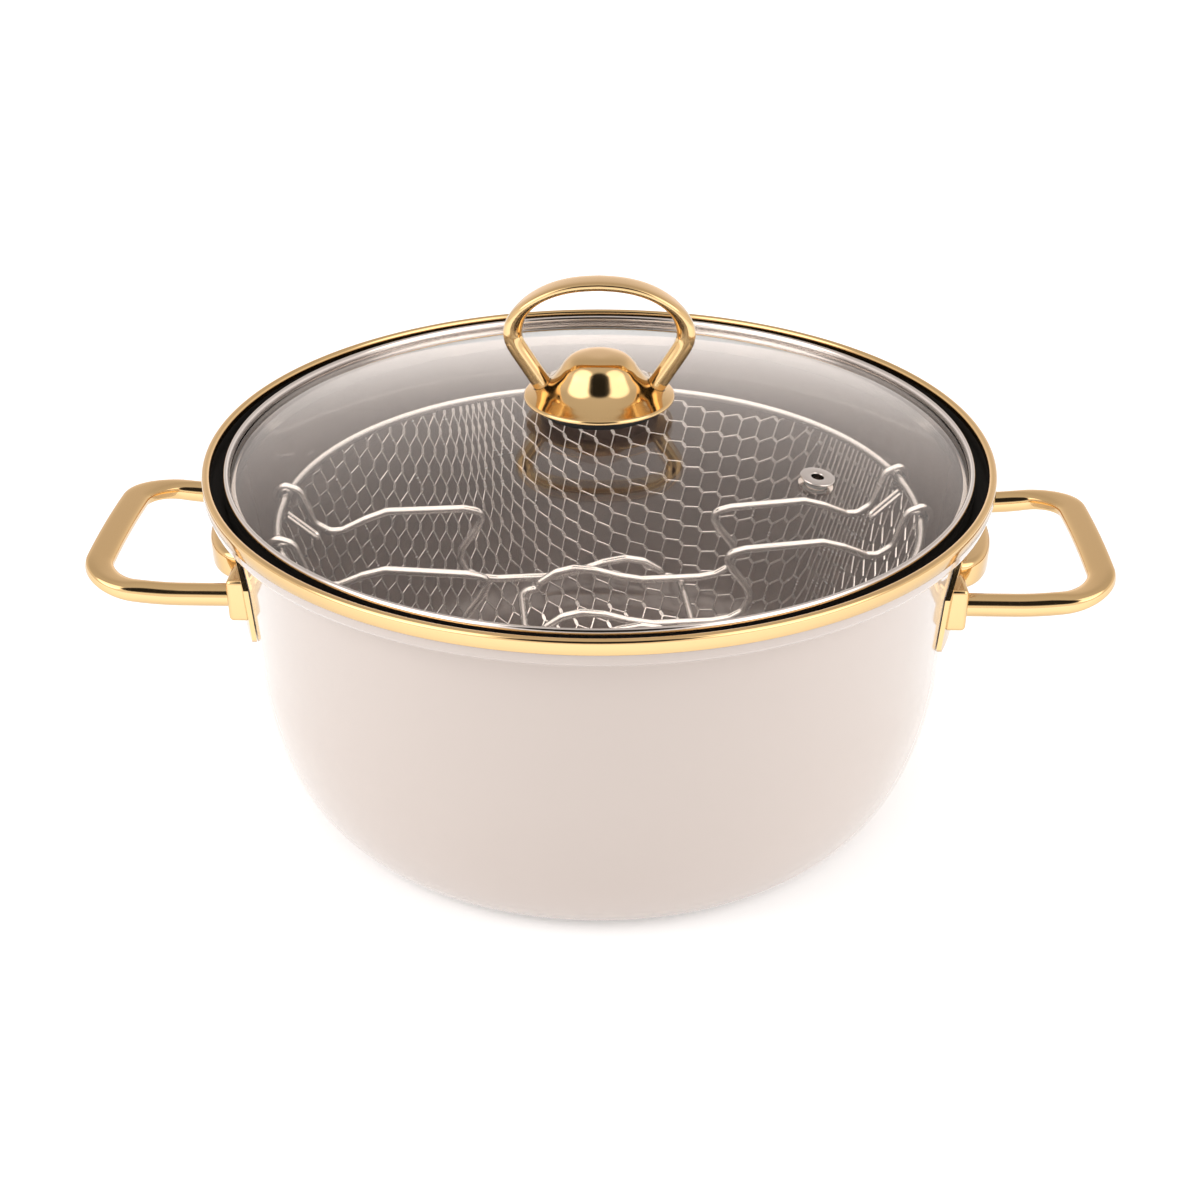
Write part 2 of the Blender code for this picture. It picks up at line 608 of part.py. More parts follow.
def make_basket_mesh(frame, steel):
    # Expanded metal: a flat net of diamonds, drawn down into a bowl.
    cell_turn = Matrix.Rotation(CELL_TURN, 2)
    solid_share = 0.22
    reach = int(2 * sheet_radius / CELL_WIDTH) + 2
    bm = bmesh.new()
    corners = {}

    def flat_place(across, along):
        return cell_turn @ Vector((across * CELL_WIDTH / 2, along * CELL_LENGTH / 2))

    for across in range(-reach, reach + 1):
        for along in range(-reach, reach + 1):
            keys = ((across + 1, along), (across, along + 1), (across - 1, along), (across, along - 1))
            nearest = min(flat_place(*key).length for key in keys)
            if (across + along) % 2 or nearest >= sheet_radius:
                continue
            for key in keys:
                if key not in corners:
                    flat = flat_place(*key)
                    if flat.length > sheet_radius:
                        flat = flat.normalized() * sheet_radius
                    corners[key] = bm.verts.new((*flat, 0.0))
            bm.faces.new([corners[key] for key in keys])
    bmesh.ops.remove_doubles(bm, verts=bm.verts, dist=STRAND_WIDTH)
    full_area = CELL_LENGTH * CELL_WIDTH / 2
    cells = [face for face in bm.faces if face.calc_area() > solid_share * full_area]
    bmesh.ops.inset_individual(bm, faces=cells, thickness=STRAND_WIDTH / 2, use_even_offset=True)
    bmesh.ops.delete(bm, geom=cells, context="FACES")
    for vert in bm.verts:
        vert.co = drawn_place(vert.co.xy)

    # The floor and the wall are parted by a level cut, low in the corner between them.
    split_height = basket_floor + MESH_SPLIT_RISE
    nets = []
    for part, hand in (("floor", 1), ("wall", -1)):
        piece = bm.copy()
        whole = piece.verts[:] + piece.edges[:] + piece.faces[:]
        split = (0.0, 0.0, split_height - hand * SEAT_GAP / 2)
        bmesh.ops.bisect_plane(piece, geom=whole, dist=MERGE_DISTANCE, plane_co=split,
                               plane_no=(0, 0, hand), clear_outer=True)
        net = mesh_object("basket_mesh_" + part, piece, steel, frame)
        sheet = net.modifiers.new("sheet", "SOLIDIFY")
        sheet.thickness = MESH_THICKNESS
        sheet.offset = 0.0
        nets.append(net)
    bm.free()

    # Room in the net for the eyes of both handles, which turn about the ring.
    room = GRIP_WIRE_RADIUS + EYE_ROOM
    for label, side, half_spread in (("left", -1, LEFT_EYE_HALF_SPREAD),
                                     ("right", 1, RIGHT_EYE_HALF_SPREAD)):
        for end, hand in (("back", 1), ("front", -1)):
            ends = [Vector((side * hinge_distance(half_spread), hand * half_spread + reach_y,
                            ring_height)) for reach_y in (-room, room)]
            cut = rod("eye_room_%s_%s" % (label, end), *ends, eye_radius + room, frame)
            combine(nets[-1], cut, "DIFFERENCE")


def make_basket_handle(label, side, half_spreads, reach, drop, frame, steel):
    # A wire loop: an eye round the ring at each end, two bent legs and a straight bar.
    eye_half, grip_half = half_spreads
    # Shares of the reach towards the middle, and of the drop below the ring.
    leg_shares = ((0.062, 0.27), (0.100, 0.355), (0.130, 0.35), (0.190, 0.26), (0.245, 0.205),
                  (0.440, 0.24), (0.475, 0.27), (0.487, 0.33), (0.470, 0.44), (0.432, 0.62),
                  (0.424, 0.72), (0.441, 0.86), (0.475, 0.925), (0.520, 0.95), (0.674, 0.95),
                  (0.740, 0.90), (0.800, 0.83), (0.857, 0.80), (0.905, 0.835), (0.950, 0.94))
    leg = arc((0.0, 0.0), eye_radius, math.radians(-65.0), math.radians(-270.0), 6)
    leg.append((eye_radius * 1.25, eye_radius * 0.55))
    leg += [(reach * along, -drop * down) for along, down in leg_shares]

    run = []
    for along, up in leg:
        spread = eye_half + (grip_half - eye_half) * smooth_share(along / reach, 0.10, 0.45)
        run.append(Vector((-side * along, spread, up)))
    bend = (reach - GRIP_BEND_RADIUS, grip_half - GRIP_BEND_RADIUS)
    run += [Vector((-side * along, spread, -drop))
            for along, spread in arc(bend, GRIP_BEND_RADIUS, UP, RIGHT, 3)]
    run += [Vector((point.x, -point.y, point.z)) for point in run[::-1]]
    handle = wire("basket_handle_" + label, run, GRIP_WIRE_RADIUS, steel, frame)
    handle.location = (side * hinge_distance(eye_half), 0.0, ring_height)


def make_basket_stop(label, side, eye_half, frame, steel):
    # A hairpin on the ring, inside the handle, that carries it when it is folded.
    place_share = 0.45
    y = eye_half * place_share
    offset = RING_WIRE_RADIUS + SEAT_GAP + STOP_WIRE_RADIUS
    slope = Vector((-side * math.cos(STOP_SLOPE), 0.0, -math.sin(STOP_SLOPE)))
    ring_place = Vector((side * hinge_distance(y), y, ring_height))
    start = ring_place + slope * offset
    tip = start + slope * STOP_LENGTH
    gap = Vector((0.0, STOP_HALF_GAP, 0.0))
    bend = [tip + gap * math.cos(angle) + slope * STOP_HALF_GAP * math.sin(angle)
            for angle in (math.pi / 4, math.pi / 2, 3 * math.pi / 4)]
    run = [start + gap, tip + gap] + bend + [tip - gap, start - gap]
    wire("basket_stop_" + label, run, STOP_WIRE_RADIUS, steel, frame)


def make_basket(steel):
    frame = add_frame("basket_frame", BASKET_TWIST)
    ring = [(x, y, ring_height) for x, y in
            arc((0.0, 0.0), ring_radius, 0.0, 2 * math.pi, ROUND_STEPS)[:-1]]
    wire("basket_ring", ring, RING_WIRE_RADIUS, steel, frame, cyclic=True)
    make_basket_mesh(frame, steel)
    make_basket_handle("left", -1, (LEFT_EYE_HALF_SPREAD, LEFT_GRIP_HALF_SPREAD),
                       LEFT_REACH_SHARE * ring_radius, LEFT_GRIP_DROP, frame, steel)
    make_basket_handle("right", 1, (RIGHT_EYE_HALF_SPREAD, RIGHT_GRIP_HALF_SPREAD),
                       RIGHT_REACH_SHARE * ring_radius, RIGHT_GRIP_DROP, frame, steel)
    make_basket_stop("left", -1, LEFT_EYE_HALF_SPREAD, frame, steel)
    make_basket_stop("right", 1, RIGHT_EYE_HALF_SPREAD, frame, steel)


def main():
    clear_scene()
    enamel = material("enamel", (0.80, 0.71, 0.66), 0.12)
    gold = material("gold", (0.86, 0.60, 0.30), 0.14, 1.0)
    steel = material("steel", (0.72, 0.70, 0.69), 0.22, 1.0)
    glass = material("glass", (0.86, 0.84, 0.82), 0.03, 0.0, 1.0)
    rubber = material("rubber", (0.03, 0.03, 0.03), 0.55)
    make_pot(enamel, gold)
    for label, turn in (("right", 0.0), ("left", math.pi)):
        frame = add_frame(label + "_side", turn)
        make_side_handle(label, frame, gold)
        make_bracket(label, frame, gold)
    make_lid(glass, steel)
    make_knob(gold, steel, rubber)
    make_basket(steel)


main()
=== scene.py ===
import math

import bmesh
import bpy
import numpy as np
from mathutils import Matrix, Vector


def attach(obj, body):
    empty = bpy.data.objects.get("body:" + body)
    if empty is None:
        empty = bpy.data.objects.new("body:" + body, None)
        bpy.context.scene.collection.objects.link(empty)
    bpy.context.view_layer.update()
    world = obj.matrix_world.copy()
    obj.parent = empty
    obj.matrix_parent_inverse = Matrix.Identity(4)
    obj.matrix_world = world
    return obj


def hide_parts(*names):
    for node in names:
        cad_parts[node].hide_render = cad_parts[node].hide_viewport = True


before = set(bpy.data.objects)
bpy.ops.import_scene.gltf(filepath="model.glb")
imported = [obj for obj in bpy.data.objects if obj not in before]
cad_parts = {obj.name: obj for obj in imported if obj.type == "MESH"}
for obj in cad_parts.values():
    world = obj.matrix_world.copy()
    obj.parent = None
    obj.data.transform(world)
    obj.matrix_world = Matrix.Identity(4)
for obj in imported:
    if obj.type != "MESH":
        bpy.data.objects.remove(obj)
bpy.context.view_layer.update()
print("frame loaded:", len(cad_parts), "nodes")


# Node tree helpers

def feed(tree, value, socket):
    # A node stands for its first output. What isn't a socket becomes the input's own value.
    if isinstance(value, bpy.types.Node):
        value = value.outputs[0]
    if isinstance(value, bpy.types.NodeSocket):
        tree.links.new(value, socket)
    else:
        socket.default_value = value


def addNode(tree, kind, inputs=None, **settings):
    node = tree.nodes.new(kind)
    for key, value in settings.items():
        setattr(node, key, value)
    for key, value in (inputs or {}).items():
        feed(tree, value, node.inputs[key])
    return node


def newTree(name, kind, inputs, outputs):
    # Each socket is (name, kind) or (name, kind, default).
    tree = bpy.data.node_groups.new(name, kind)
    for direction, entries in (("INPUT", inputs), ("OUTPUT", outputs)):
        for label, socketKind, *default in entries:
            socket = tree.interface.new_socket(label, in_out=direction,
                                               socket_type="NodeSocket" + socketKind)
            if default:
                socket.default_value = default[0]
    return tree, addNode(tree, "NodeGroupInput").outputs, addNode(tree, "NodeGroupOutput").inputs


def mathNode(tree, operation, *values, kind="ShaderNodeMath", **settings):
    return addNode(tree, kind, dict(enumerate(values)), operation=operation, **settings).outputs[0]


def mixNode(tree, share, first, second, kind="RGBA"):
    # A Mix node keeps its number and colour sockets at different places.
    number, result = {"FLOAT": (2, 0), "RGBA": (6, 2)}[kind]
    return addNode(tree, "ShaderNodeMix", {0: share, number: first, number + 1: second},
                   data_type=kind).outputs[result]


def rangeNode(tree, value, low, high, first, last):
    return addNode(tree, "ShaderNodeMapRange",
                   {"Value": value, "From Min": low, "From Max": high, "To Min": first, "To Max": last},
                   interpolation_type="SMOOTHSTEP").outputs["Result"]


# Surface grain, shared by every finish

grainShape = {
    "patchDetail": 3.0, "grainDetail": 2.0, "lineDetail": 6.0, "lineScale": 90.0, "lineStretch": 16.0,
    "lineLow": 0.54, "lineHigh": 0.68, "lineRoughness": 0.12, "shade": (0.78, 0.76, 0.74),
    "bumpDepth": 0.00002,
}


def makeGrainGroup():
    # Slow change of tone, uneven gloss and faint hairlines that run round the Z axis, as spinning
    # leaves them.
    s = grainShape
    tree, given, leave = newTree(
        "surfaceGrain", "ShaderNodeTree",
        [("Colour", "Color", (0.8, 0.8, 0.8, 1.0)), ("Tone Change", "Float", 0.1),
         ("Patch Scale", "Float", 12.0), ("Roughness", "Float", 0.2), ("Gloss Change", "Float", 0.05),
         ("Grain Scale", "Float", 400.0), ("Hairlines", "Float", 0.2)],
        [("Colour", "Color"), ("Roughness", "Float"), ("Height", "Float")])

    def noise(where, scale, detail):
        return addNode(tree, "ShaderNodeTexNoise",
                       {"Vector": where, "Scale": scale, "Detail": detail}).outputs["Fac"]

    def maths(operation, *values, **settings):
        return mathNode(tree, operation, *values, **settings)

    spot = addNode(tree, "ShaderNodeTexCoord").outputs["Object"]
    patch = noise(spot, given["Patch Scale"], s["patchDetail"])
    grain = noise(spot, given["Grain Scale"], s["grainDetail"])
    level = addNode(tree, "ShaderNodeSeparateXYZ", {0: spot}).outputs
    flat = maths("MULTIPLY", spot, (1.0, 1.0, 0.0), kind="ShaderNodeVectorMath")
    span = addNode(tree, "ShaderNodeVectorMath", {0: flat}, operation="LENGTH").outputs["Value"]
    stretch = addNode(tree, "ShaderNodeCombineXYZ", {
        "X": maths("MULTIPLY", maths("ADD", span, level["Z"]), s["lineStretch"]),
        "Y": level["X"], "Z": level["Y"]})
    line = noise(stretch, s["lineScale"], s["lineDetail"])
    thin = rangeNode(tree, line, s["lineLow"], s["lineHigh"], 0.0, 1.0)
    darker = maths("MULTIPLY", given["Colour"], s["shade"], kind="ShaderNodeVectorMath")
    tone = mixNode(tree, maths("MULTIPLY", patch, given["Tone Change"]), given["Colour"], darker)
    uneven = maths("MULTIPLY", maths("SUBTRACT", patch, 0.5), given["Gloss Change"])
    worn = maths("MULTIPLY", thin, maths("MULTIPLY", given["Hairlines"], s["lineRoughness"]))
    rough = maths("ADD", maths("ADD", given["Roughness"], uneven), worn, use_clamp=True)
    height = maths("SUBTRACT", grain, maths("MULTIPLY", thin, given["Hairlines"]))
    for key, value in (("Colour", tone), ("Roughness", rough), ("Height", height)):
        feed(tree, value, leave[key])
    return tree


grainGroup = makeGrainGroup()


def makeMaterial(name, look):
    # A principled shader fed by the grain group. look names the group's inputs and the shader's own
    # values.
    made = bpy.data.materials.new(name)
    made.use_nodes = True
    tree = made.node_tree
    shader = tree.nodes["Principled BSDF"].inputs
    group = addNode(tree, "ShaderNodeGroup", node_tree=grainGroup)
    for key, value in look["grain"].items():
        feed(tree, value, group.inputs[key])
    grain = group.outputs
    bump = addNode(tree, "ShaderNodeBump", {"Strength": look["bump"], "Height": grain["Height"],
                                            "Distance": look.get("depth", grainShape["bumpDepth"])})
    for key, value in {**look["shader"], "Base Color": grain["Colour"], "Roughness": grain["Roughness"],
                       "Normal": bump}.items():
        feed(tree, value, shader[key])
    return made, tree, shader, grain


# Finishes

# In each metal look, edge is a painted shade colour: the darker tone the base colour turns to towards
# grazing angles.
metalLooks = {
    "gold": {
        "grain": {"Colour": (0.93, 0.665, 0.335, 1), "Tone Change": 0.10, "Patch Scale": 16.0,
                  "Roughness": 0.09, "Gloss Change": 0.05, "Grain Scale": 260.0, "Hairlines": 0.35},
        "shader": {"Metallic": 1.0}, "bump": 0.05, "edge": (0.27, 0.12, 0.022, 1), "edgeShadeBlend": 0.24},
    "lidSteel": {
        "grain": {"Colour": (0.93, 0.87, 0.83, 1), "Tone Change": 0.10, "Patch Scale": 20.0,
                  "Roughness": 0.12, "Gloss Change": 0.03, "Grain Scale": 300.0, "Hairlines": 0.04},
        "shader": {"Metallic": 1.0}, "bump": 0.015, "edge": (0.30, 0.28, 0.265, 1), "edgeShadeBlend": 0.32},
    "basketSteel": {
        "grain": {"Colour": (0.93, 0.915, 0.905, 1), "Tone Change": 0.20, "Patch Scale": 60.0,
                  "Roughness": 0.22, "Gloss Change": 0.12, "Grain Scale": 420.0, "Hairlines": 0.4},
        "shader": {"Metallic": 1.0}, "bump": 0.40, "edge": (0.36, 0.34, 0.33, 1), "edgeShadeBlend": 0.30},
}


def makeMetal(name):
    look = metalLooks[name]
    made, tree, shader, grain = makeMaterial(name, look)
    # Painted shade: the base colour turns to the darker edge colour where the surface turns away
    # from the eye, as a painted dark reflection on the polished metal.
    edgeShadeShare = addNode(tree, "ShaderNodeLayerWeight", {"Blend": look["edgeShadeBlend"]}).outputs["Facing"]
    feed(tree, mixNode(tree, edgeShadeShare, grain["Colour"], look["edge"]), shader["Base Color"])
    return made


enamelLook = {
    "grain": {"Colour": (0.70, 0.595, 0.535, 1), "Tone Change": 0.06, "Patch Scale": 9.0,
              "Roughness": 0.13, "Gloss Change": 0.04, "Grain Scale": 140.0, "Hairlines": 0.04},
    "shader": {"Coat Roughness": 0.05, "IOR": 1.5}, "bump": 0.10, "depth": 0.00005,
    # The ledge colour is painted shadow: the near black given to the ledge under the lip for the gap under
    # the lid.
    "insideColour": (0.190, 0.134, 0.113, 1), "streakColour": (0.270, 0.205, 0.178, 1),
    "ledgeShadowColour": (0.012, 0.010, 0.008, 1), "ledgeRoughness": 0.85,
}


def makeEnamel():
    look = enamelLook
    made, tree, shader, grain = makeMaterial("enamel", look)
    # The point attribute says which skin it is: 0 outside, 1 inside, 2 on the ledge under the lip.
    # The inner skin is a taupe coat with fine rings in it. The ledge is painted black, as painted
    # shadow in the gap under the lid, and is dull and uncoated.
    skin = addNode(tree, "ShaderNodeAttribute", attribute_name="skin").outputs["Fac"]
    ledge = mathNode(tree, "SUBTRACT", skin, 1.0, use_clamp=True)
    inside = mixNode(tree, grain["Height"], look["insideColour"], look["streakColour"])
    both = mixNode(tree, mathNode(tree, "MINIMUM", skin, 1.0), grain["Colour"], inside)
    feed(tree, mixNode(tree, ledge, both, look["ledgeShadowColour"]), shader["Base Color"])
    feed(tree, mathNode(tree, "SUBTRACT", 1.0, ledge), shader["Coat Weight"])
    feed(tree, mixNode(tree, ledge, grain["Roughness"], look["ledgeRoughness"], "FLOAT"),
         shader["Roughness"])
    return made


glassLook = {
    "grain": {"Colour": (0.985, 0.958, 0.928, 1), "Tone Change": 0.02, "Patch Scale": 6.0,
              "Roughness": 0.0, "Gloss Change": 0.0, "Grain Scale": 60.0, "Hairlines": 0.0},
    "shader": {"Transmission Weight": 1.0, "IOR": 1.52, "Metallic": 0.0}, "bump": 0.01,
}
rubberLook = {
    "grain": {"Colour": (0.022, 0.022, 0.022, 1), "Tone Change": 0.3, "Patch Scale": 40.0,
              "Roughness": 0.55, "Gloss Change": 0.1, "Grain Scale": 900.0, "Hairlines": 0.1},
    "shader": {"IOR": 1.45}, "bump": 0.25,
}
finishes = {
    "enamel": makeEnamel(),
    "gold": makeMetal("gold"),
    "lid_steel": makeMetal("lidSteel"),
    "basket_steel": makeMetal("basketSteel"),
    "glass": makeMaterial("lidGlass", glassLook)[0],
    "rubber": makeMaterial("gasketRubber", rubberLook)[0],
}
print("materials made:", len(finishes))


# Geometry Nodes trees

def shapeTree(name, inputs):
    return newTree(name, "GeometryNodeTree",
                   [("Geometry", "Geometry"), *inputs, ("Finish", "Material")], [("Geometry", "Geometry")])


def finishTree(tree, shape, given, leave):
    plain = addNode(tree, "GeometryNodeRealizeInstances", {0: shape})
    painted = addNode(tree, "GeometryNodeSetMaterial", {"Geometry": plain, "Material": given["Finish"]})
    feed(tree, painted, leave[0])
    return tree


def namedValue(tree, name, kind):
    return addNode(tree, "GeometryNodeInputNamedAttribute", {"Name": name},
                   data_type=kind).outputs["Attribute"]


def makeTurnedTree():
    # A profile of points in the XZ plane, turned about Z. The point attribute "skin" is carried along.
    tree, given, leave = shapeTree("turnedShape", [("Steps", "Int", 96),
                                                   ("Merge Distance", "Float", 1e-6)])
    profile, steps = given["Geometry"], given["Steps"]
    count = addNode(tree, "GeometryNodeAttributeDomainSize", {"Geometry": profile},
                    component="MESH").outputs["Point Count"]
    grid = addNode(tree, "GeometryNodeMeshGrid",
                   {"Vertices X": mathNode(tree, "ADD", steps, 1.0), "Vertices Y": count})
    index = addNode(tree, "GeometryNodeInputIndex").outputs[0]
    column = mathNode(tree, "MODULO", index, count)
    row = mathNode(tree, "FLOOR", mathNode(tree, "DIVIDE", mathNode(tree, "ADD", index, 0.5), count))
    angle = mathNode(tree, "DIVIDE", mathNode(tree, "MULTIPLY", row, 2 * math.pi), steps)

    def sampled(value, kind):
        return addNode(tree, "GeometryNodeSampleIndex",
                       {"Geometry": profile, "Value": value, "Index": column},
                       data_type=kind).outputs["Value"]

    spot = sampled(addNode(tree, "GeometryNodeInputPosition"), "FLOAT_VECTOR")
    turn = addNode(tree, "ShaderNodeVectorRotate", {"Vector": spot, "Angle": angle},
                   rotation_type="Z_AXIS")
    move = addNode(tree, "GeometryNodeSetPosition", {"Geometry": grid, "Position": turn})
    skin = sampled(namedValue(tree, "skin", "FLOAT"), "FLOAT")
    keep = addNode(tree, "GeometryNodeStoreNamedAttribute",
                   {"Geometry": move, "Name": "skin", "Value": skin}, data_type="FLOAT", domain="POINT")
    merge = addNode(tree, "GeometryNodeMergeByDistance",
                    {"Geometry": keep, "Distance": given["Merge Distance"]})
    return finishTree(tree, merge, given, leave)


def makeWireTree():
    # A bent wire along a chain of edges: rounded bends, round section, closed ends.
    tree, given, leave = shapeTree("bentWire", [
        ("Wire Radius", "Float", 0.001), ("Bend Radius", "Float", 0.003), ("Bend Points", "Int", 6),
        ("Sides", "Int", 16)])
    chain = addNode(tree, "GeometryNodeMeshToCurve", {0: given["Geometry"]})
    bent = addNode(tree, "GeometryNodeFilletCurve",
                   {"Curve": chain, "Radius": given["Bend Radius"], "Count": given["Bend Points"],
                    "Limit Radius": True}, mode="POLY")
    section = addNode(tree, "GeometryNodeCurvePrimitiveCircle",
                      {"Resolution": given["Sides"], "Radius": given["Wire Radius"]})
    swept = addNode(tree, "GeometryNodeCurveToMesh",
                    {"Curve": bent, "Profile Curve": section, "Fill Caps": True})
    return finishTree(tree, swept, given, leave)


def makeSheetTree():
    # Expanded metal: a slim bar on each strand point and a flat lozenge on each bond point.
    tree, given, leave = shapeTree("expandedSheet", [
        ("Strand Width", "Float", 0.0009), ("Thickness", "Float", 0.0005),
        ("Bond Length", "Float", 0.003), ("Bond Width", "Float", 0.0013), ("Twist", "Float", 0.4),
        ("Uneven Twist", "Float", 0.1), ("Seed", "Int", 7)])
    axes = addNode(tree, "FunctionNodeAxesToRotation",
                   {0: namedValue(tree, "facing", "FLOAT_VECTOR"),
                    1: namedValue(tree, "along", "FLOAT_VECTOR")}, primary_axis="Z", secondary_axis="X")
    uneven = given["Uneven Twist"]
    wobble = addNode(tree, "FunctionNodeRandomValue",
                     {2: mathNode(tree, "MULTIPLY", uneven, -1.0), 3: uneven, "Seed": given["Seed"]},
                     data_type="FLOAT").outputs[1]
    tilt = mathNode(tree, "MULTIPLY", namedValue(tree, "family", "FLOAT"), given["Twist"])
    lean = addNode(tree, "ShaderNodeCombineXYZ", {"X": mathNode(tree, "ADD", tilt, wobble)})
    leaning = addNode(tree, "FunctionNodeRotateRotation",
                      {0: axes, 1: addNode(tree, "FunctionNodeEulerToRotation", {0: lean})},
                      rotation_space="LOCAL")
    isBond = namedValue(tree, "isBond", "BOOLEAN")
    isStrand = addNode(tree, "FunctionNodeBooleanMath", {0: isBond}, operation="NOT")

    def unitBar():
        return addNode(tree, "GeometryNodeMeshCylinder", {"Vertices": 8, "Radius": 0.5, "Depth": 1.0},
                       fill_type="NGON")

    def laid(shape, chosen, turn, length, width):
        size = addNode(tree, "ShaderNodeCombineXYZ",
                       {"X": length, "Y": width, "Z": given["Thickness"]})
        return addNode(tree, "GeometryNodeInstanceOnPoints",
                       {"Points": given["Geometry"], "Selection": chosen, "Instance": shape,
                        "Rotation": turn, "Scale": size})

    lying = addNode(tree, "GeometryNodeTransform", {0: unitBar(), "Rotation": (0.0, math.pi / 2, 0.0)})
    strands = laid(lying, isStrand, leaning, namedValue(tree, "span", "FLOAT"), given["Strand Width"])
    bonds = laid(unitBar(), isBond, axes, given["Bond Length"], given["Bond Width"])
    both = addNode(tree, "GeometryNodeJoinGeometry")
    for copies in (strands, bonds):
        feed(tree, copies, both.inputs[0])
    return finishTree(tree, both, given, leave)


turnedTree = makeTurnedTree()
wireTree = makeWireTree()
sheetTree = makeSheetTree()


# Mesh helpers

def addObject(name, data):
    thing = bpy.data.objects.new(name, data)
    bpy.context.scene.collection.objects.link(thing)
    return thing


def meshObject(name, bm, slotName=None):
    shape = bpy.data.meshes.new(name)
    bm.to_mesh(shape)
    bm.free()
    if slotName:
        shape.materials.append(finishes[slotName])
    return addObject(name, shape)


def evaluatedMesh(thing):
    bpy.context.view_layer.update()
    view = bpy.context.evaluated_depsgraph_get()
    return bpy.data.meshes.new_from_object(thing.evaluated_get(view), preserve_all_data_layers=True,
                                           depsgraph=view)


def treeMesh(name, guide, tree, values):
    # Runs a geometry tree over a guide mesh and keeps the plain mesh.
    holder = addObject(name + "Guide", guide)
    modifier = holder.modifiers.new("shape", "NODES")
    modifier.node_group = tree
    for socket in tree.interface.items_tree:
        if socket.in_out == "INPUT" and socket.name in values:
            modifier[socket.identifier] = values[socket.name]
    shape = evaluatedMesh(holder)
    bpy.data.objects.remove(holder)
    bpy.data.meshes.remove(guide)
    shape.name = name
    return shape


def smoothShade(shape, crease=35.0, outwards=True):
    if outwards:
        bm = bmesh.new()
        bm.from_mesh(shape)
        bmesh.ops.recalc_face_normals(bm, faces=bm.faces)
        bm.to_mesh(shape)
        bm.free()
    shape.shade_smooth()
    shape.set_sharp_from_angle(angle=math.radians(crease))


def place(thing, body, slotName, *nodes):
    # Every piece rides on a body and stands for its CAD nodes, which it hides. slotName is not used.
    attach(thing, body)
    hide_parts(*nodes)


def arc(centre, radius, start, stop, steps):
    # Degrees, as seen in a profile.
    angles = [math.radians(start + (stop - start) * step / steps) for step in range(steps + 1)]
    return [(centre[0] + radius * math.cos(angle), centre[1] + radius * math.sin(angle))
            for angle in angles]


def turned(name, outline, steps, slotName, closed=True, skins=None, crease=35.0):
    # skins gives a number for each outline point, where a finish has more than one skin.
    points = list(outline)
    if closed:
        points.append(points[0])
    guide = bpy.data.meshes.new(name + "Profile")
    guide.from_pydata([(radius, 0.0, height) for radius, height in points],
                      [(number, number + 1) for number in range(len(points) - 1)], [])
    flags = guide.attributes.new("skin", "FLOAT", "POINT")
    for item, skin in zip(flags.data, skins or [0.0] * len(points)):
        item.value = skin
    shape = treeMesh(name, guide, turnedTree,
                     {"Steps": steps, "Merge Distance": 1e-6, "Finish": finishes[slotName]})
    smoothShade(shape, crease)
    return addObject(name, shape)


def wirePiece(name, run, radius, bend, slotName, cyclic=False, bendPoints=6, sides=16):
    guide = bpy.data.meshes.new(name + "Path")
    last = len(run) if cyclic else len(run) - 1
    guide.from_pydata([tuple(point) for point in run],
                      [(number, (number + 1) % len(run)) for number in range(last)], [])
    shape = treeMesh(name, guide, wireTree, {
        "Wire Radius": radius, "Bend Radius": bend, "Bend Points": bendPoints, "Sides": sides,
        "Finish": finishes[slotName]})
    smoothShade(shape, 50.0)
    return addObject(name, shape)


def smoothShare(value, low, high):
    share = min(max((value - low) / (high - low), 0.0), 1.0)
    return share * share * (3 - 2 * share)


def loftedBar(name, path, normals, flats, rod, strip, slotName, sides=28):
    # A round bar whose section changes to a flat strip, (width, thickness), along its path.
    bm = bmesh.new()
    rings = []
    for number, (centre, normal, flat) in enumerate(zip(path, normals, flats)):
        along = path[min(number + 1, len(path) - 1)] - path[max(number - 1, 0)]
        across = along.cross(normal).normalized()
        lift = across.cross(along).normalized()
        halfWidth = rod + (strip[0] / 2 - rod) * flat
        halfThick = rod + (strip[1] / 2 - rod) * flat
        power = 2 / (2 + 1.5 * flat)
        ring = []
        for side in range(sides):
            angle = 2 * math.pi * (side + 0.5) / sides
            wide = math.copysign(abs(math.cos(angle)) ** power, math.cos(angle)) * halfWidth
            thick = math.copysign(abs(math.sin(angle)) ** power, math.sin(angle)) * halfThick
            ring.append(bm.verts.new(centre + across * wide + lift * thick))
        rings.append(ring)
    for low, high in zip(rings, rings[1:]):
        for side in range(sides):
            after = (side + 1) % sides
            bm.faces.new((low[side], low[after], high[after], high[side]))
    bm.faces.new(rings[0])
    bm.faces.new(rings[-1])
    bar = meshObject(name, bm, slotName)
    smoothShade(bar.data, 40.0)
    return bar


def smoothThrough(points, perSpan):
    # A smooth curve through points of a profile, with its ends as they are.
    made = []
    for number in range(len(points) - 1):
        before = points[max(number - 1, 0)]
        first, second = points[number], points[number + 1]
        after = points[min(number + 2, len(points) - 1)]
        for step in range(perSpan):
            t = step / perSpan
            made.append(tuple(0.5 * (2 * b + (c - a) * t + (2 * a - 5 * b + 4 * c - d) * t * t
                                     + (3 * b - 3 * c + d - a) * t ** 3)
                              for a, b, c, d in zip(before, first, second, after)))
    made.append(points[-1])
    return made


def cut(target, cutter, operation="DIFFERENCE"):
    change = target.modifiers.new(operation.lower(), "BOOLEAN")
    change.operation = operation
    change.solver = "EXACT"
    change.object = cutter


def settle(target, cutters, crease=35.0):
    # Turns a piece and its live cuts into one plain mesh.
    shape = evaluatedMesh(target)
    old = target.data
    target.modifiers.clear()
    target.data = shape
    bpy.data.meshes.remove(old)
    for cutter in cutters:
        bpy.data.objects.remove(cutter)
    smoothShade(shape, crease)


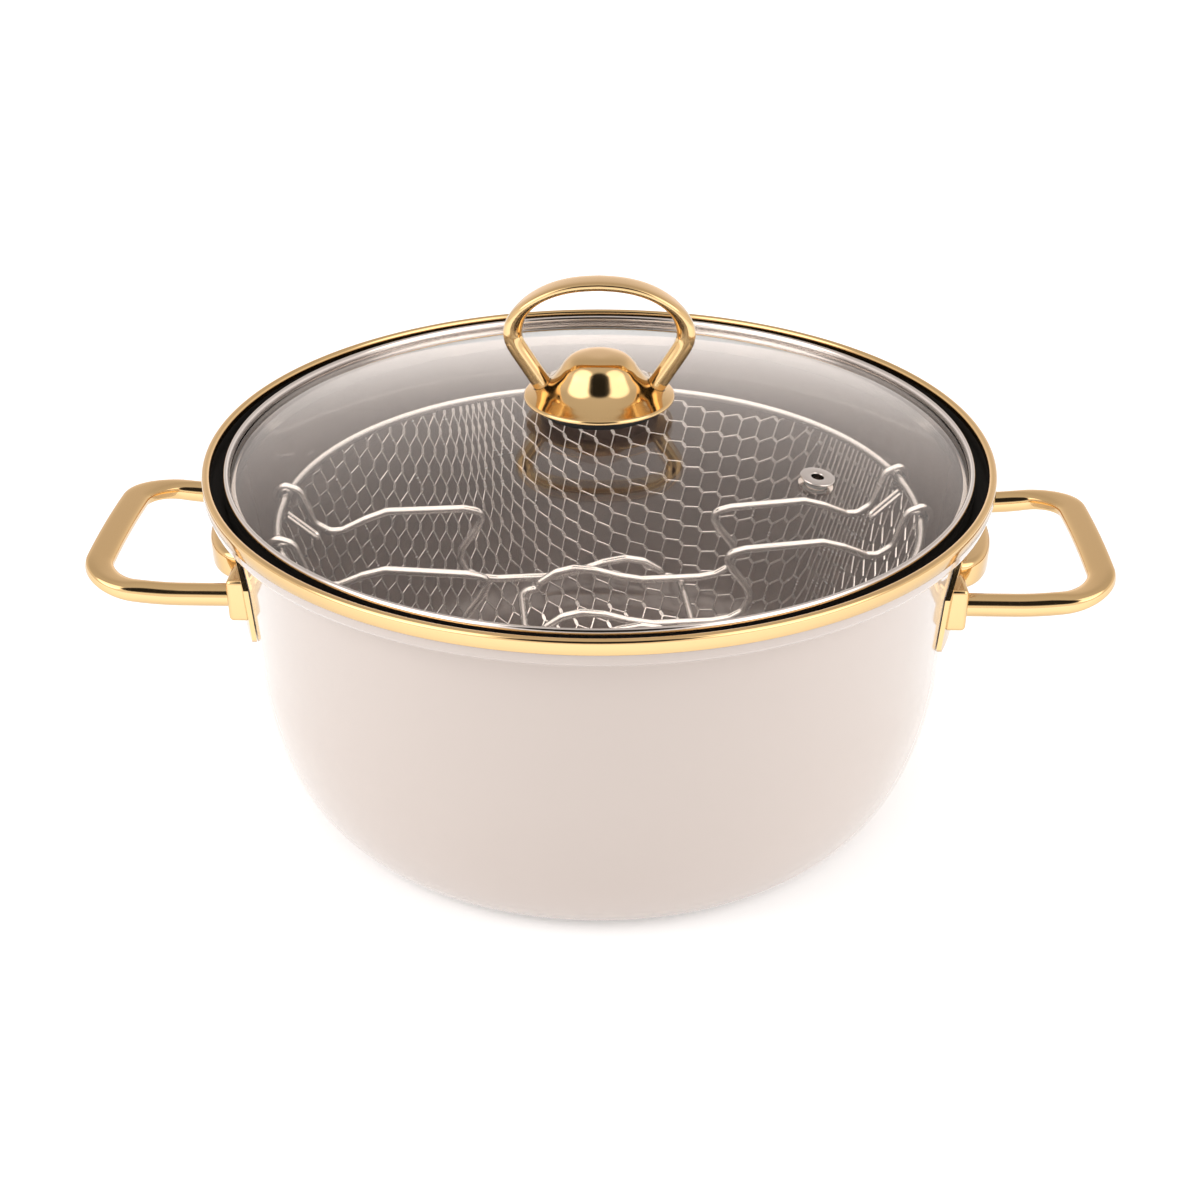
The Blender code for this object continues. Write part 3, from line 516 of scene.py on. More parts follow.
def cylinder(name, start, stop, radius, sides=32):
    along = stop - start
    bm = bmesh.new()
    turn = along.to_track_quat("Z", "Y").to_matrix().to_4x4()
    bmesh.ops.create_cone(bm, cap_ends=True, segments=sides, radius1=radius, radius2=radius,
                          depth=along.length, matrix=Matrix.Translation((start + stop) / 2) @ turn)
    return meshObject(name, bm)


# Pot body and the band on its rim

potSizes = {
    "height": 0.120, "rimRadius": 0.130, "wall": 0.0011, "floor": 0.0018, "recess": 0.0005,
    "standRing": 0.010, "wallFoot": 0.1187, "cornerHeight": 0.0607, "cornerWidth": 0.0217,
    "neck": 0.1215, "neckFillet": 0.0045, "ledgeDepth": 0.0084, "lipFillet": 0.0028,
    "bandSheet": 0.0005, "bandHeight": 0.0046, "bandTurnIn": 0.0026, "gap": 0.0003, "steps": 192,
    "cornerSteps": 30,
}
gap = potSizes["gap"]
wall = potSizes["wall"]
ledgeUnder = potSizes["height"] - potSizes["ledgeDepth"] - wall
neckCentre = (potSizes["neck"] + potSizes["neckFillet"], ledgeUnder - potSizes["neckFillet"])


def makePot():
    s = potSizes
    high, wide = s["cornerHeight"], s["cornerWidth"]
    base = s["wallFoot"] - wide
    recessRadius = base - s["standRing"]
    lip = s["rimRadius"] - s["bandSheet"] - gap
    lipTurn = (lip - s["lipFillet"], ledgeUnder + s["lipFillet"])
    lipTop = (lip - wall / 2, s["height"] - s["bandSheet"] - gap - wall / 2)
    steps = s["cornerSteps"]
    quarter = [math.radians(90 - 90 * step / steps) for step in range(steps + 1)]
    outline = [(0.0, s["recess"]), (recessRadius - s["recess"], s["recess"]), (recessRadius, 0.0)]
    outline += [(base + wide * math.cos(angle), high * (1 - math.sin(angle))) for angle in quarter]
    outline += arc(neckCentre, s["neckFillet"], 180, 90, 8)
    outline += arc(lipTurn, s["lipFillet"], -90, 0, 8)
    outline += arc(lipTop, wall / 2, 0, 180, 6)
    # Skin 2 marks the lip top and the ledge under it, which the enamel paints black as painted shadow in
    # the gap.
    skins = [0.0] * (len(outline) - 2) + [2.0] * 2
    ledge = arc(lipTurn, s["lipFillet"] - wall, 0, -90, 6)
    ledge += arc(neckCentre, s["neckFillet"] + wall, 90, 180, 8)
    inside = [(base + (wide - wall) * math.cos(angle), high - (high - s["floor"]) * math.sin(angle))
              for angle in quarter[::-1]] + [(0.0, s["floor"])]
    skins += [2.0] * (len(ledge) - 4) + [1.0] * (len(inside) + 4)
    body = turned("potBody", outline + ledge + inside, s["steps"], "enamel", closed=False, skins=skins)
    place(body, "pot", "enamel", "pot_body")


def makeBand():
    s = potSizes
    sheet, rim = s["bandSheet"], s["rimRadius"]
    half = wall / 2 + gap + sheet
    crown = (rim - half, s["height"] - half)
    foot = s["height"] - s["bandHeight"]
    turnIn = s["height"] - s["bandTurnIn"]
    outline = [(rim - sheet, foot + sheet / 2), (rim - sheet / 2, foot), (rim, foot + sheet / 2)]
    outline += arc(crown, half, 0, 180, 16)
    outline += [(rim - 2 * half, turnIn), (rim - 2 * half + sheet, turnIn)]
    outline += arc(crown, half - sheet, 180, 0, 12)
    band = turned("rimBand", outline, s["steps"], "gold", crease=50.0)
    place(band, "pot", "gold", "rim_band")


makePot()
makeBand()
print("pot and rim band made")


# Lid: rim, glass, vent

lidSizes = {
    "radius": 0.1235, "rimHeight": 0.0083, "rimRound": 0.0003, "beadWidth": 0.0023,
    "beadHeight": 0.0022, "sheet": 0.0005, "skirtPlay": 0.0010, "skirtDepth": 0.0038, "glass": 0.0040,
    "rise": 0.0168, "ventDistance": 0.079, "ventAzimuth": -30.0, "ventBore": 0.0020,
    "ventTube": 0.0035, "ventFlange": 0.0055, "ventSheet": 0.0007, "ventOverrun": 0.003,
    "screwBore": 0.0027, "domeSteps": 28, "steps": 192, "ventSteps": 48,
}
shoulder = potSizes["neckFillet"] + wall
lidBottom = neckCentre[1] + math.sqrt(shoulder ** 2 - (neckCentre[0] - lidSizes["radius"]) ** 2) + gap
beadLow = lidBottom + lidSizes["rimHeight"] - lidSizes["beadHeight"]
glassRadius = lidSizes["radius"] - lidSizes["sheet"] - gap
domeRadius = (glassRadius ** 2 + lidSizes["rise"] ** 2) / (2 * lidSizes["rise"])
domeDrop = domeRadius - math.sqrt(domeRadius ** 2 - (lidSizes["radius"] - lidSizes["beadWidth"]) ** 2)
glassTop = beadLow - gap + domeDrop


def domeHeight(radius):
    return glassTop - domeRadius + math.sqrt(domeRadius ** 2 - radius ** 2)


def makeLidRim():
    s = lidSizes
    skirtOuter = potSizes["neck"] - wall - s["skirtPlay"]
    skirtInner = skirtOuter - s["sheet"]
    skirtLow = lidBottom - s["skirtDepth"]
    channel = glassRadius + gap
    channelFloor = glassTop - s["rise"] - s["glass"] - gap
    beadCentre = s["radius"] - s["beadWidth"] / 2
    edge = s["rimRound"]
    outline = [(skirtOuter, lidBottom)]
    outline += arc((s["radius"] - edge, lidBottom + edge), edge, -90, 0, 4)
    outline += [(beadCentre + wide * s["beadWidth"] / 2, beadLow + high * s["beadHeight"])
                for wide, high in arc((0.0, 0.0), 1.0, 0, 180, 16)]
    outline += [(channel, beadLow), (channel, channelFloor), (skirtInner, channelFloor),
                (skirtInner, skirtLow), (skirtOuter, skirtLow)]
    rim = turned("lidRim", outline, s["steps"], "lid_steel", crease=45.0)
    place(rim, "lid", "lid_steel", "lid_rim")


def makeGlass():
    s = lidSizes
    bore, steps = s["screwBore"], s["domeSteps"]
    radii = [bore + (glassRadius - bore) * step / steps for step in range(steps + 1)]
    upper = [(radius, domeHeight(radius)) for radius in radii]
    lower = [(radius, height - s["glass"]) for radius, height in upper]
    pane = turned("lidGlass", upper + lower[::-1], s["steps"], "glass")
    half = s["glass"] / 2 + gap
    outer = half + s["ventSheet"]
    flange, tube, vent = s["ventFlange"], s["ventTube"], s["ventBore"]
    rounding = s["ventSheet"] / 2
    outline = [(vent, -outer), (flange, -outer), (flange, -half), (tube, -half), (tube, half)]
    outline += arc((flange - rounding, half + rounding), rounding, -90, 90, 8)
    outline += arc((vent + rounding, outer - rounding), rounding, 90, 180, 5)
    eyelet = turned("ventEyelet", outline, s["ventSteps"], "lid_steel", crease=50.0)
    distance, azimuth = s["ventDistance"], math.radians(s["ventAzimuth"])
    tilt = math.asin(distance / domeRadius)
    spot = Vector((distance * math.cos(azimuth), distance * math.sin(azimuth),
                   domeHeight(distance) - s["glass"] / 2))
    turn = Matrix.Translation(spot) @ Matrix.Rotation(azimuth, 4, "Z") @ Matrix.Rotation(tilt, 4, "Y")
    eyelet.data.transform(turn)
    reach = half + s["ventOverrun"]
    hole = cylinder("ventHole", turn @ Vector((0, 0, -reach)), turn @ Vector((0, 0, reach)), tube + gap)
    cut(pane, hole)
    settle(pane, [hole])
    place(pane, "lid", "glass", "lid_glass")
    place(eyelet, "lid", "lid_steel", "vent_eyelet")


makeLidRim()
makeGlass()
print("lid made")


# Knob

knobSizes = {
    "gasketRadius": 0.0196, "gasketHeight": 0.0029, "gasketRound": 0.0006, "flangeRadius": 0.0247,
    "height": 0.0148, "rod": 0.0031, "stripWidth": 0.0100, "stripThickness": 0.0030,
    "footSpread": 0.0178, "footHeight": 0.0028, "kinkSpread": 0.0282, "kinkHeight": 0.0194,
    "archHeight": 0.0191, "archPower": 2.2, "legSteps": 10, "archSteps": 24, "eases": 3,
    "flatFrom": 0.15, "flatTo": 0.85, "screw": 0.0024, "screwDepth": 0.0080, "headRadius": 0.0045,
    "headHeight": 0.0026, "headRound": 0.0013, "washerRadius": 0.0090, "washer": 0.0010,
    "washerEdge": 0.0003, "steps": 96, "washerSteps": 64, "screwSteps": 48,
    "lipShares": ((0.985, 0.0), (1.0, 0.015), (1.0, 0.045)),
    "flankShares": ((0.985, 0.08), (0.86, 0.165), (0.74, 0.265), (0.635, 0.40), (0.54, 0.60),
                    (0.455, 0.80), (0.355, 0.93), (0.20, 0.99), (0.0, 1.0)),
}
boreRadius = lidSizes["screwBore"]
gasketTop = glassTop + gap + knobSizes["gasketHeight"]
knobBottom = gasketTop + gap
screwEnd = knobBottom + knobSizes["screwDepth"]


def makeGasket():
    s = knobSizes
    edge, radius = s["gasketRound"], s["gasketRadius"]
    under = [boreRadius + (radius - boreRadius) * step / 8 for step in range(9)]
    outline = [(spread, domeHeight(spread) + gap) for spread in under]
    outline += arc((radius - edge, gasketTop - edge), edge, 0, 90, 4) + [(boreRadius, gasketTop)]
    gasket = turned("knobGasket", outline, s["steps"], "rubber")
    place(gasket, "lid", "rubber", "knob_gasket")


def makeBellAndBail():
    s = knobSizes
    flank = list(s["lipShares"]) + smoothThrough(s["flankShares"], 6)
    outline = [(s["flangeRadius"] * across, knobBottom + s["height"] * up) for across, up in flank]
    outline += [(0.0, screwEnd + gap), (boreRadius, screwEnd + gap), (boreRadius, knobBottom)]
    bell = turned("knobBase", outline, s["steps"], "gold", crease=38.0)

    foot = Vector((s["footSpread"], 0.0, knobBottom + s["footHeight"]))
    kink = Vector((s["kinkSpread"], 0.0, knobBottom + s["kinkHeight"]))
    power = 2 / s["archPower"]
    half = [foot.lerp(kink, step / s["legSteps"]) for step in range(s["legSteps"])]
    for step in range(s["archSteps"] + 1):
        angle = math.pi / 2 * step / s["archSteps"]
        half.append(Vector((kink.x * math.cos(angle) ** power, 0.0,
                            kink.z + s["archHeight"] * math.sin(angle) ** power)))
    half[-1].x = 0.0
    # Ease the corner where the legs meet the arch.
    for ease in range(s["eases"]):
        eased = [(a + 2 * b + c) / 4 for a, b, c in zip(half, half[1:], half[2:])]
        half = [half[0]] + eased + [half[-1]]
    path = half + [Vector((-point.x, 0.0, point.z)) for point in half[-2::-1]]
    normals = [Vector((point.x, 0.0, point.z - foot.z)) for point in path]
    flats = [smoothShare((point.z - kink.z) / s["archHeight"], s["flatFrom"], s["flatTo"])
             for point in path]
    bail = loftedBar("knobBail", path, normals, flats, s["rod"],
                     (s["stripWidth"], s["stripThickness"]), "gold")
    slope = (kink - foot).normalized()
    cutters = []
    for hand in (1, -1):
        ends = [Vector((hand * point.x, 0.0, point.z)) for point in (foot - slope * gap, kink)]
        cutters.append(cylinder("bailSocket", *ends, s["rod"] + gap))
        cut(bell, cutters[-1])
    settle(bell, cutters, 38.0)
    place(bell, "lid", "gold", "knob_base")
    place(bail, "lid", "gold", "knob_bail")


def makeFastener():
    s = knobSizes
    top = glassTop - lidSizes["glass"] - gap
    low = top - s["washer"]
    radius, edge = s["washerRadius"], s["washerEdge"]
    outline = [(boreRadius, low), (radius - edge, low), (radius, low + edge), (radius, top),
               (boreRadius, top)]
    washer = turned("knobWasher", outline, s["washerSteps"], "lid_steel")
    place(washer, "lid", "lid_steel", "knob_washer")
    headTop = low - gap
    headLow = headTop - s["headHeight"]
    head, rounding = s["headRadius"], s["headRound"]
    outline = [(0.0, headLow), (head - rounding, headLow)]
    outline += arc((head - rounding, headLow + rounding), rounding, -90, 0, 6)[1:]
    outline += [(head, headTop), (s["screw"], headTop), (s["screw"], screwEnd), (0.0, screwEnd)]
    screw = turned("knobScrew", outline, s["screwSteps"], "lid_steel", closed=False)
    place(screw, "lid", "lid_steel", "knob_screw")


makeGasket()
makeBellAndBail()
makeFastener()
print("knob made")


# Side handles and brackets

handleSizes = {
    "height": 0.0816, "halfSpread": 0.0378, "reach": 0.1704, "corner": 0.015, "rod": 0.0038,
    "stripWidth": 0.0092, "stripThickness": 0.0046, "bow": 0.0012, "levelRun": 0.0154, "rise": 0.0042,
    "flatFrom": 0.58, "flatTo": 0.97,
}
bracketSizes = {
    "sheet": 0.0014, "halfWidth": 0.048, "upperHalfWidth": 0.040, "shoulder": 0.0095, "top": 0.0980,
    "bottom": 0.0690, "socketWidth": 0.0130, "socketHeight": 0.0150, "socketLift": 0.0009,
    "socketFace": 0.1190, "socketRound": 0.0016, "socketDepth": 0.0026, "humpHalfWidth": 0.030,
    "humpReach": 0.1315, "humpTop": 0.0920, "humpHeight": 0.0100, "humpRound": 0.0022,
    "humpFullness": 0.75, "overrun": 0.003, "columns": 40, "trimSteps": 384,
}


def makeSideHandle(label, turn):
    s = handleSizes
    gripX = s["reach"] - s["stripWidth"] / 2
    startX = bracketSizes["socketFace"] - bracketSizes["socketDepth"]
    spread, corner = s["halfSpread"], s["corner"]
    cornerX, cornerY = gripX - corner, spread - corner
    half = [(startX + (cornerX - startX) * step / 16, spread) for step in range(16)]
    half += arc((cornerX, cornerY), corner, 90, 0, 24)
    half += [(gripX, cornerY * (1 - step / 8)) for step in range(1, 9)]
    riseX = bracketSizes["socketFace"] + s["levelRun"]
    slope = s["rise"] / (gripX - riseX)
    path, normals, flats = [], [], []
    for x, y in half + [(x, -y) for x, y in half[-2::-1]]:
        flat = smoothShare((x - startX) / (gripX - startX), s["flatFrom"], s["flatTo"])
        x -= s["bow"] * flat * (y / spread) ** 2
        along = max(x - riseX, 0.0) / (gripX - riseX)
        path.append(Vector((x, y, s["height"] + s["rise"] * along ** 2)))
        normals.append(Vector((-2 * along * slope, 0.0, 1.0)))
        flats.append(flat)
    handle = loftedBar("handle" + label.capitalize(), path, normals, flats, s["rod"],
                       (s["stripWidth"], s["stripThickness"]), "gold")
    handle.data.transform(turn)
    place(handle, "pot", "gold", "handle_" + label)


def wallRadius(height):
    s = potSizes
    slope = (s["neck"] - s["wallFoot"]) / (neckCentre[1] - s["cornerHeight"])
    return s["wallFoot"] + slope * (height - s["cornerHeight"])


def makePlate(name):
    # A sheet along the wall. It starts too deep, and is trimmed to the wall later.
    s = bracketSizes
    bottom, top, sheet, columns = s["bottom"], s["top"], s["sheet"], s["columns"]
    rows = [(bottom, s["halfWidth"] - sheet), (bottom + sheet, s["halfWidth"]),
            (top - s["shoulder"], s["halfWidth"]), (top, s["upperHalfWidth"])]
    bm = bmesh.new()
    skins = []
    for offset in (-s["overrun"], sheet):
        skin = []
        for height, half in rows:
            radius = wallRadius(height) + gap + offset
            ys = [half * (2 * column / columns - 1) for column in range(columns + 1)]
            skin.append([bm.verts.new((math.sqrt(radius ** 2 - y ** 2), y, height)) for y in ys])
        skins.append(skin)
    for skin in skins:
        for low, high in zip(skin, skin[1:]):
            for column in range(columns):
                bm.faces.new((low[column], low[column + 1], high[column + 1], high[column]))
    last = len(rows) - 1
    border = [(row, 0) for row in range(last + 1)]
    border += [(last, column) for column in range(1, columns + 1)]
    border += [(row, columns) for row in range(last - 1, -1, -1)]
    border += [(0, column) for column in range(columns - 1, 0, -1)]
    inner, outer = skins
    for (row, column), (nextRow, nextColumn) in zip(border, border[1:] + border[:1]):
        bm.faces.new((inner[row][column], inner[nextRow][nextColumn], outer[nextRow][nextColumn],
                      outer[row][column]))
    bmesh.ops.recalc_face_normals(bm, faces=bm.faces)
    return meshObject(name, bm, "gold")


def bevelled(bm, edges, rounding):
    bmesh.ops.bevel(bm, geom=edges, offset=rounding, segments=5, profile=0.5, affect="EDGES")


def roundedBox(name, low, high, rounding):
    bm = bmesh.new()
    size = [b - a for a, b in zip(low, high)]
    middle = [(a + b) / 2 for a, b in zip(low, high)]
    bmesh.ops.create_cube(bm, size=1.0,
                          matrix=Matrix.Translation(middle) @ Matrix.Diagonal((*size, 1.0)))
    bevelled(bm, bm.edges[:], rounding)
    return meshObject(name, bm)


def makeHump(name):
    # D-shaped from above, with an upright front and rounded edges.
    s = bracketSizes
    low, half = s["humpTop"] - s["humpHeight"], s["humpHalfWidth"]
    backX = math.sqrt((wallRadius(s["humpTop"]) + gap) ** 2 - half ** 2) - s["overrun"]
    bm = bmesh.new()
    outline = [bm.verts.new((backX, -half, low))]
    for step in range(1, 40):
        angle = math.pi * (step / 40 - 0.5)
        front = backX + (s["humpReach"] - backX) * math.cos(angle) ** s["humpFullness"]
        outline.append(bm.verts.new((front, half * math.sin(angle), low)))
    outline.append(bm.verts.new((backX, half, low)))
    raised = bmesh.ops.extrude_face_region(bm, geom=[bm.faces.new(outline)])
    tops = [item for item in raised["geom"] if isinstance(item, bmesh.types.BMVert)]
    bmesh.ops.translate(bm, verts=tops, vec=(0.0, 0.0, s["humpHeight"]))
    rims = [edge for edge in bm.edges if abs(edge.verts[0].co.z - edge.verts[1].co.z) < 1e-6]
    bevelled(bm, rims, s["humpRound"])
    bmesh.ops.recalc_face_normals(bm, faces=bm.faces)
    return meshObject(name, bm)


def makeBracket(label, turn):
    s = bracketSizes
    title = label.capitalize()
    height, spread, face = handleSizes["height"], handleSizes["halfSpread"], s["socketFace"]
    plate = makePlate("bracket" + title)
    cutters = [makeHump("hump" + title)]
    socketLow = height + s["socketLift"] - s["socketHeight"] / 2
    socketHalf = s["socketWidth"] / 2
    wallX = math.sqrt((wallRadius(socketLow) + gap) ** 2 - (spread + socketHalf) ** 2)
    for y in (spread, -spread):
        cutters.append(roundedBox("socket" + title, (wallX - s["overrun"], y - socketHalf, socketLow),
                                  (face, y + socketHalf, socketLow + s["socketHeight"]),
                                  s["socketRound"]))
    for cutter in cutters:
        cut(plate, cutter, "UNION")
    low, high = s["bottom"] - s["overrun"], s["top"] + s["overrun"]
    outline = [(0.0, low), (wallRadius(low) + gap, low), (wallRadius(high) + gap, high), (0.0, high)]
    cutters.append(turned("wallTrim" + title, outline, s["trimSteps"], "gold", closed=False))
    cut(plate, cutters[-1])
    for y in (spread, -spread):
        cutters.append(cylinder("legBore" + title, Vector((face - s["socketDepth"] - gap, y, height)),
                                Vector((face + s["overrun"], y, height)), handleSizes["rod"] + gap))
        cut(plate, cutters[-1])
    settle(plate, cutters, 30.0)
    plate.data.transform(turn)
    place(plate, "pot", "gold", "bracket_" + label)


for label, degrees in (("right", 0.0), ("left", 180.0)):
    turnedSide = Matrix.Rotation(math.radians(degrees), 4, "Z")
    makeSideHandle(label, turnedSide)
    makeBracket(label, turnedSide)
print("side handles and brackets made")


# Basket: bowl of expanded metal

bowlSizes = {
    "ringRadius": 0.1073, "ringHeight": 0.0942, "ringWire": 0.0016, "flatRadius": 0.0640,
    "corner": 0.020, "sheet": 0.0010, "twist": 6.9,
}
netSizes = {
    "pitch": 0.0077, "longWay": 118.6, "openAngle": 60.0, "bondLength": 0.0030, "bondWidth": 0.00140,
    "bondLap": 1.15, "bondInset": 0.42, "strandWidth": 0.00095, "thickness": 0.00055, "twist": 0.45,
    "unevenTwist": 0.12, "seed": 11, "reach": 34, "eyeRoom": 0.0046, "edgeDrop": 0.0008,
    "shortest": 0.0002,
}
basketTurn = Matrix.Rotation(math.radians(bowlSizes["twist"]), 4, "Z")
ringRadius, ringHeight = bowlSizes["ringRadius"], bowlSizes["ringHeight"]
flatRadius, cornerRadius = bowlSizes["flatRadius"], bowlSizes["corner"]
bowlFloor = potSizes["floor"] + gap + bowlSizes["sheet"] / 2
bowlTop = ringHeight - bowlSizes["ringWire"] - gap - bowlSizes["sheet"] / 2
cornerCentre = (flatRadius, bowlFloor + cornerRadius)
wallRun = ringRadius - cornerCentre[0]
wallRise = bowlTop - cornerCentre[1]
wallLength = math.sqrt(wallRun ** 2 + wallRise ** 2 - cornerRadius ** 2)
wallLean = math.atan2(wallRun, wallRise) - math.atan2(cornerRadius, wallLength)
cornerTurn = math.pi / 2 - wallLean
cornerLength = cornerRadius * cornerTurn


def bowlPlace(flat):
    # Where a point of the flat sheet lies on the bowl. The wall goes on above the ring.
    length = math.hypot(*flat)
    if length <= flatRadius:
        return np.array((flat[0], flat[1], bowlFloor))
    turn = min((length - flatRadius) / cornerRadius, cornerTurn)
    past = max(length - flatRadius - cornerLength, 0.0)
    radius = cornerCentre[0] + cornerRadius * math.sin(turn) + past * math.sin(wallLean)
    height = cornerCentre[1] - cornerRadius * math.cos(turn) + past * math.cos(wallLean)
    return np.array((flat[0] * radius / length, flat[1] * radius / length, height))


def bowlNormal(flat):
    nudge = 1e-5
    across = bowlPlace(flat + (nudge, 0.0)) - bowlPlace(flat - (nudge, 0.0))
    along = bowlPlace(flat + (0.0, nudge)) - bowlPlace(flat - (0.0, nudge))
    return Vector(np.cross(across, along)).normalized()


def netNode(first, second, guess):
    # The place on the bowl that lies one pitch from two known nodes.
    pitch, nudge = netSizes["pitch"], 1e-7

    def miss(flat):
        spot = bowlPlace(flat)
        return np.array((np.linalg.norm(spot - first), np.linalg.norm(spot - second))) - pitch

    flat = guess.copy()
    for attempt in range(40):
        missed = miss(flat)
        if abs(missed).sum() < 1e-9:
            return flat
        slopes = np.column_stack(((miss(flat + (nudge, 0.0)) - missed) / nudge,
                                  (miss(flat + (0.0, nudge)) - missed) / nudge))
        if abs(np.linalg.det(slopes)) < 1e-4:
            return None
        step = np.linalg.solve(slopes, missed)
        flat -= step * min(1.0, pitch / 2 / max(np.linalg.norm(step), 1e-12))
    return None


def solveNet():
    # A sheet of rhombi that is drawn into the bowl keeps its strands' length, so each node
    # follows from two neighbours, starting from two straight lines through the middle.
    pitch, reach = netSizes["pitch"], netSizes["reach"]
    angles = [math.radians(netSizes["longWay"] + side * netSizes["openAngle"] / 2) for side in (-1, 1)]
    ways = [np.array((math.cos(angle), math.sin(angle))) for angle in angles]
    flats = {}
    for number in range(-reach, reach + 1):
        flats[number, 0] = ways[0] * number * pitch
        flats[0, number] = ways[1] * number * pitch
    limit = flatRadius + cornerLength + wallLength + 2 * pitch
    for handI, handJ in ((1, 1), (1, -1), (-1, 1), (-1, -1)):
        for i in range(1, reach + 1):
            for j in range(1, reach + 1):
                keys = [(handI * (i - 1), handJ * j), (handI * i, handJ * (j - 1)),
                        (handI * (i - 1), handJ * (j - 1))]
                if any(key not in flats or math.hypot(*flats[key]) > limit for key in keys):
                    continue
                first, second, shared = (flats[key] for key in keys)
                found = netNode(bowlPlace(first), bowlPlace(second), first + second - shared)
                if found is not None:
                    flats[handI * i, handJ * j] = found
    return flats


def netFrames(flats, places):
    # The long diagonal's way and the outward normal, at each node that has strands both ways.
    ends, faces = {}, {}
    for (i, j), spot in places.items():
        ways = []
        for stepI, stepJ in ((1, 0), (0, 1)):
            ahead, behind = places.get((i + stepI, j + stepJ)), places.get((i - stepI, j - stepJ))
            if ahead or behind:
                ways.append(((ahead or spot) - (behind or spot)).normalized())
        if len(ways) < 2 or (ways[0] + ways[1]).length < 1e-3:
            continue
        facing = bowlNormal(flats[i, j])
        along = (ways[0] + ways[1]).normalized()
        ends[i, j] = (along - facing * along.dot(facing)).normalized()
        faces[i, j] = facing
    return ends, faces


def netGuide(eyes):
    s = netSizes
    flats = solveNet()
    places = {key: Vector(bowlPlace(flat)) for key, flat in flats.items()}
    ends, faces = netFrames(flats, places)
    edgeHeight = ringHeight - s["edgeDrop"]
    inset = s["bondLength"] * s["bondInset"]

    def nearEye(spot):
        return any((spot - eye).length < s["eyeRoom"] for eye in eyes)

    rows = []  # place, along, facing, span, family, is a bond
    for (i, j), along in ends.items():
        spot = places[i, j]
        if spot.z < edgeHeight and not nearEye(spot):
            rows.append((spot, along, faces[i, j], s["bondLength"], 0.0, True))
        for step, family in (((1, 0), 1.0), ((0, 1), -1.0)):
            other = (i + step[0], j + step[1])
            if other not in ends:
                continue
            start, stop = spot + along * inset, places[other] - ends[other] * inset
            if min(start.z, stop.z) > edgeHeight:
                continue
            if max(start.z, stop.z) > edgeHeight:
                share = (edgeHeight - start.z) / (stop.z - start.z)
                middle = start.lerp(stop, share)
                start, stop = (start, middle) if start.z < stop.z else (middle, stop)
            middle = (start + stop) / 2
            if (stop - start).length < s["shortest"] or nearEye(middle):
                continue
            facing = (faces[i, j] + faces[other]).normalized()
            rows.append((middle, (stop - start).normalized(), facing, (stop - start).length, family,
                         False))
    guide = bpy.data.meshes.new("netPoints")
    guide.from_pydata([tuple(row[0]) for row in rows], [], [])
    kinds = (("along", "FLOAT_VECTOR", "vector"), ("facing", "FLOAT_VECTOR", "vector"),
             ("span", "FLOAT", "value"), ("family", "FLOAT", "value"), ("isBond", "BOOLEAN", "value"))
    for number, (name, kind, key) in enumerate(kinds, 1):
        layer = guide.attributes.new(name, kind, "POINT")
        for item, row in zip(layer.data, rows):
            setattr(item, key, row[number])
    print("net:", len(ends), "nodes,", len(rows), "strands and bonds")
    return guide


# Basket handles and their stops

gripSizes = {
    "wire": 0.0014, "eyePlay": 0.0004, "stopWire": 0.0008, "stopHalfGap": 0.0015,
    "stopLength": 0.0115, "stopSlope": 42.0, "stopShare": 0.45, "stopBend": 0.0005, "endBend": 0.006,
    "wireBend": 0.004, "spreadFrom": 0.10, "spreadTo": 0.45,
    "left": {"side": -1, "eyeHalf": 0.0200, "gripHalf": 0.0245, "reach": 0.1367, "drop": 0.0394},
    "right": {"side": 1, "eyeHalf": 0.0160, "gripHalf": 0.0160, "reach": 0.1326, "drop": 0.0377},
    "legShares": ((0.062, 0.27), (0.100, 0.355), (0.130, 0.35), (0.190, 0.26), (0.245, 0.205),
                  (0.440, 0.24), (0.475, 0.27), (0.487, 0.33), (0.470, 0.44), (0.432, 0.62),
                  (0.424, 0.72), (0.441, 0.86), (0.475, 0.925), (0.520, 0.95), (0.674, 0.95),
                  (0.740, 0.90), (0.800, 0.83), (0.857, 0.80), (0.905, 0.835), (0.950, 0.94)),
}


def ringPoint(side, y):
    # On the middle of the ring's wire, before the basket's turn.
    return Vector((side * math.sqrt(ringRadius ** 2 - y ** 2), y, ringHeight))


def makeBowl():
    s = netSizes
    eyes = [basketTurn @ ringPoint(grip["side"], hand * grip["eyeHalf"])
            for grip in (gripSizes["left"], gripSizes["right"]) for hand in (1, -1)]
    shape = treeMesh("basketNet", netGuide(eyes), sheetTree, {
        "Strand Width": s["strandWidth"], "Thickness": s["thickness"],
        "Bond Length": s["bondLength"] * s["bondLap"], "Bond Width": s["bondWidth"],
        "Twist": s["twist"], "Uneven Twist": s["unevenTwist"], "Seed": s["seed"],
        "Finish": finishes["basket_steel"]})
    smoothShade(shape, 50.0, outwards=False)
    net = addObject("basketNet", shape)
    place(net, "basket", "basket_steel", "basket_mesh_floor", "basket_mesh_wall")
    angles = [math.radians(2 * step) for step in range(180)]
    ring = [(ringRadius * math.cos(angle), ringRadius * math.sin(angle), ringHeight)
            for angle in angles]
    hoop = wirePiece("basketRing", ring, bowlSizes["ringWire"], 0.0, "basket_steel", cyclic=True,
                     bendPoints=1, sides=20)
    place(hoop, "basket", "basket_steel", "basket_ring")


